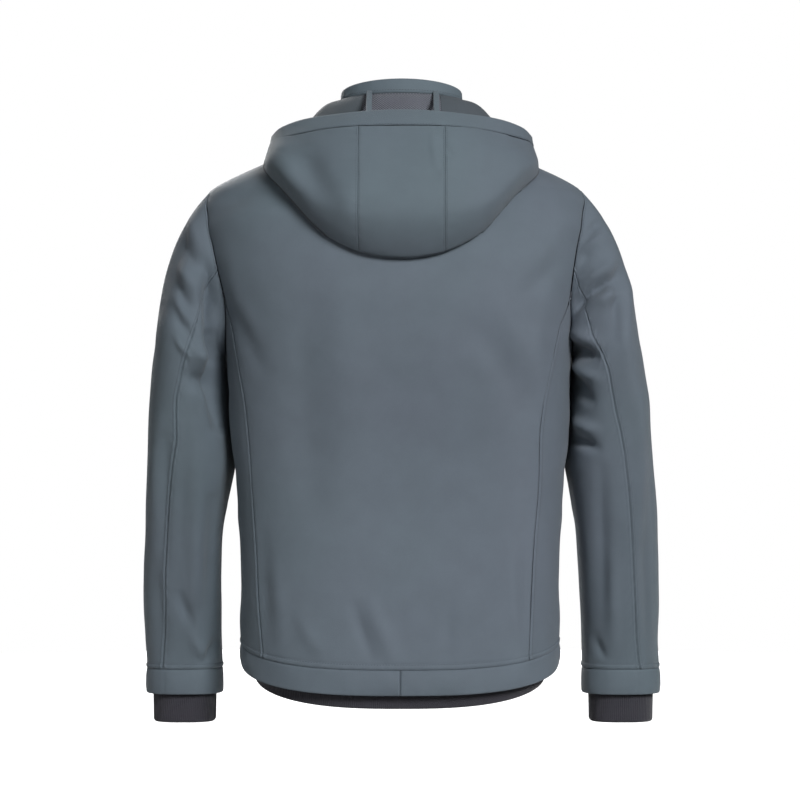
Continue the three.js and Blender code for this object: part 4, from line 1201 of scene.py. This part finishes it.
for side, name, low in sides:
    offsets = np.array([0.3, 2, 4, 6, zipHalf, 11, 14, 17, tapeHalf - 0.6, tapeHalf])
    atNeck = onSide(side, angleAtWidth(0.0, offsets))
    onCollar = sunk(collarPoint, collarInward, atNeck, shares[:, None])
    below = onSide(side, angleAtWidth(drops[:, None], offsets))
    onBody = sunk(bodyPoint, bodyInward, below, drops[:, None])
    halfway = unit(collarInward(atNeck, 0.0) + bodyInward(atNeck, 0.0))
    lean = (halfway * bodyInward(atNeck, 0.0)).sum(axis=-1, keepdims=True)
    neckRow = (bodyPoint(atNeck, 0.0) + halfway * (tapeSink / lean))[None]
    points = np.vstack([onCollar, neckRow, onBody])
    clothPiece(
        "zipTape" + name, points, -side, "zipTape", "zipTape", "zip_tape_" + low, wall=tapeWall,
        rounding=0.3,
    )

line = np.vstack([
    sunk(collarPoint, collarInward, 0.0, shares), sunk(bodyPoint, bodyInward, 0.0, drops),
])
length = lengthsAlong(line[None], 1)[0]
bm = bmesh.new()
aside = Vector((1, 0, 0))
for i, at in enumerate(np.arange(3, length[-1] - 2, zipSettings["pitch"] / 2)):
    middle, ahead, behind = (Vector(pointAt(line, length, at + step)) for step in (0, 1, -1))
    down = (ahead - behind).normalized()
    out = aside.cross(down).normalized()
    out = -out if out.y > 0 else out
    spot = middle + out * zipSettings["lift"] + aside * (zipSettings["offset"] * (1 if i % 2 else -1))
    bmesh.ops.create_cube(bm, size=1, matrix=placed(spot, (aside, down, out), zipSettings["tooth"]))
bmesh.ops.recalc_face_normals(bm, faces=bm.faces)
teeth = addPiece("zipTeeth", bm, looks["teeth"])
rounding = zipSettings["rounding"] * mm
addModifier(teeth, "BEVEL", width=rounding, segments=1, limit_method="ANGLE", angle_limit=math.radians(40))
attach(teeth, "jacket")
for node in ("zip_slider", "zip_pull"):
    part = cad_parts[node]
    part.data.materials.clear()
    part.data.materials.append(looks["metal"])
sewStitches()
report("zip made")

# Floor, light and camera
stage = {
    "floorDrop": 0.86, "floorSize": 2.4, "photoDistance": 3.5, "photoHeight": -0.341, "photoWidth": 0.992,
    "floor": {
        "Base Color": (0.9, 0.9, 0.9, 1), "Roughness": 0.9, "Emission Color": (1, 1, 1, 1),
        "Emission Strength": 0.6,
    },
    "aim": Vector((0, 0, -0.3)),
    "lights": {  # place, size, power
        "keyLight": ((-2.7, 5.2, 2.5), 2.3, 402),
        "fillLight": ((3.4, 5.2, 0.5), 2.6, 42),
        "frontLight": ((1.2, -3.6, 1.4), 2.4, 120),
    },
    "sky": {"From Min": -0.5, "From Max": 0.9, "To Min": 0.04, "To Max": 0.19},  # darker below
}
bm = bmesh.new()
bmesh.ops.create_circle(bm, cap_ends=True, segments=96, radius=stage["floorSize"])
bmesh.ops.translate(bm, verts=bm.verts, vec=(0, 0, -stage["floorDrop"]))
floorLook = Look("paleFloor")
floorLook.set(stage["floor"])
floor = addPiece("floor", bm, floorLook.material)
floor.visible_diffuse = False  # it would light the jacket from below

for name, (place, size, power) in stage["lights"].items():
    data = bpy.data.lights.new(name, "AREA")
    data.shape = "DISK"
    data.size = size
    data.energy = power
    light = bpy.data.objects.new(name, data)
    light.location = place
    light.rotation_euler = (stage["aim"] - Vector(place)).to_track_quat("-Z", "Y").to_euler()
    link(light)

world = bpy.data.worlds.new("studio")
bpy.context.scene.world = world
world.use_nodes = True
tree = world.node_tree
background = tree.nodes["Background"]
background.inputs["Color"].default_value = (1, 1, 1, 1)
kinds = ("LightPath", "TexCoord", "SeparateXYZ", "MapRange", "Mix")
ray, place, height, sky, level = (tree.nodes.new("ShaderNode" + kind) for kind in kinds)
for key, value in stage["sky"].items():
    sky.inputs[key].default_value = value
level.inputs[3].default_value = 1.0  # what the camera sees
for source, socket in (
    (place.outputs["Generated"], height.inputs[0]), (height.outputs["Z"], sky.inputs["Value"]),
    (sky.outputs["Result"], level.inputs[2]), (ray.outputs["Is Camera Ray"], level.inputs[0]),
    (level.outputs[0], background.inputs["Strength"]),
):
    tree.links.new(source, socket)

camera = bpy.data.objects.new("camera", bpy.data.cameras.new("camera"))
camera.data.sensor_width = 36
camera.data.lens = camera.data.sensor_width * stage["photoDistance"] / stage["photoWidth"]
camera.location = (0, stage["photoDistance"], stage["photoHeight"])
camera.rotation_euler = (math.pi / 2, 0, math.pi)
link(camera)
bpy.context.scene.camera = camera
bpy.context.scene.view_settings.view_transform = "Standard"
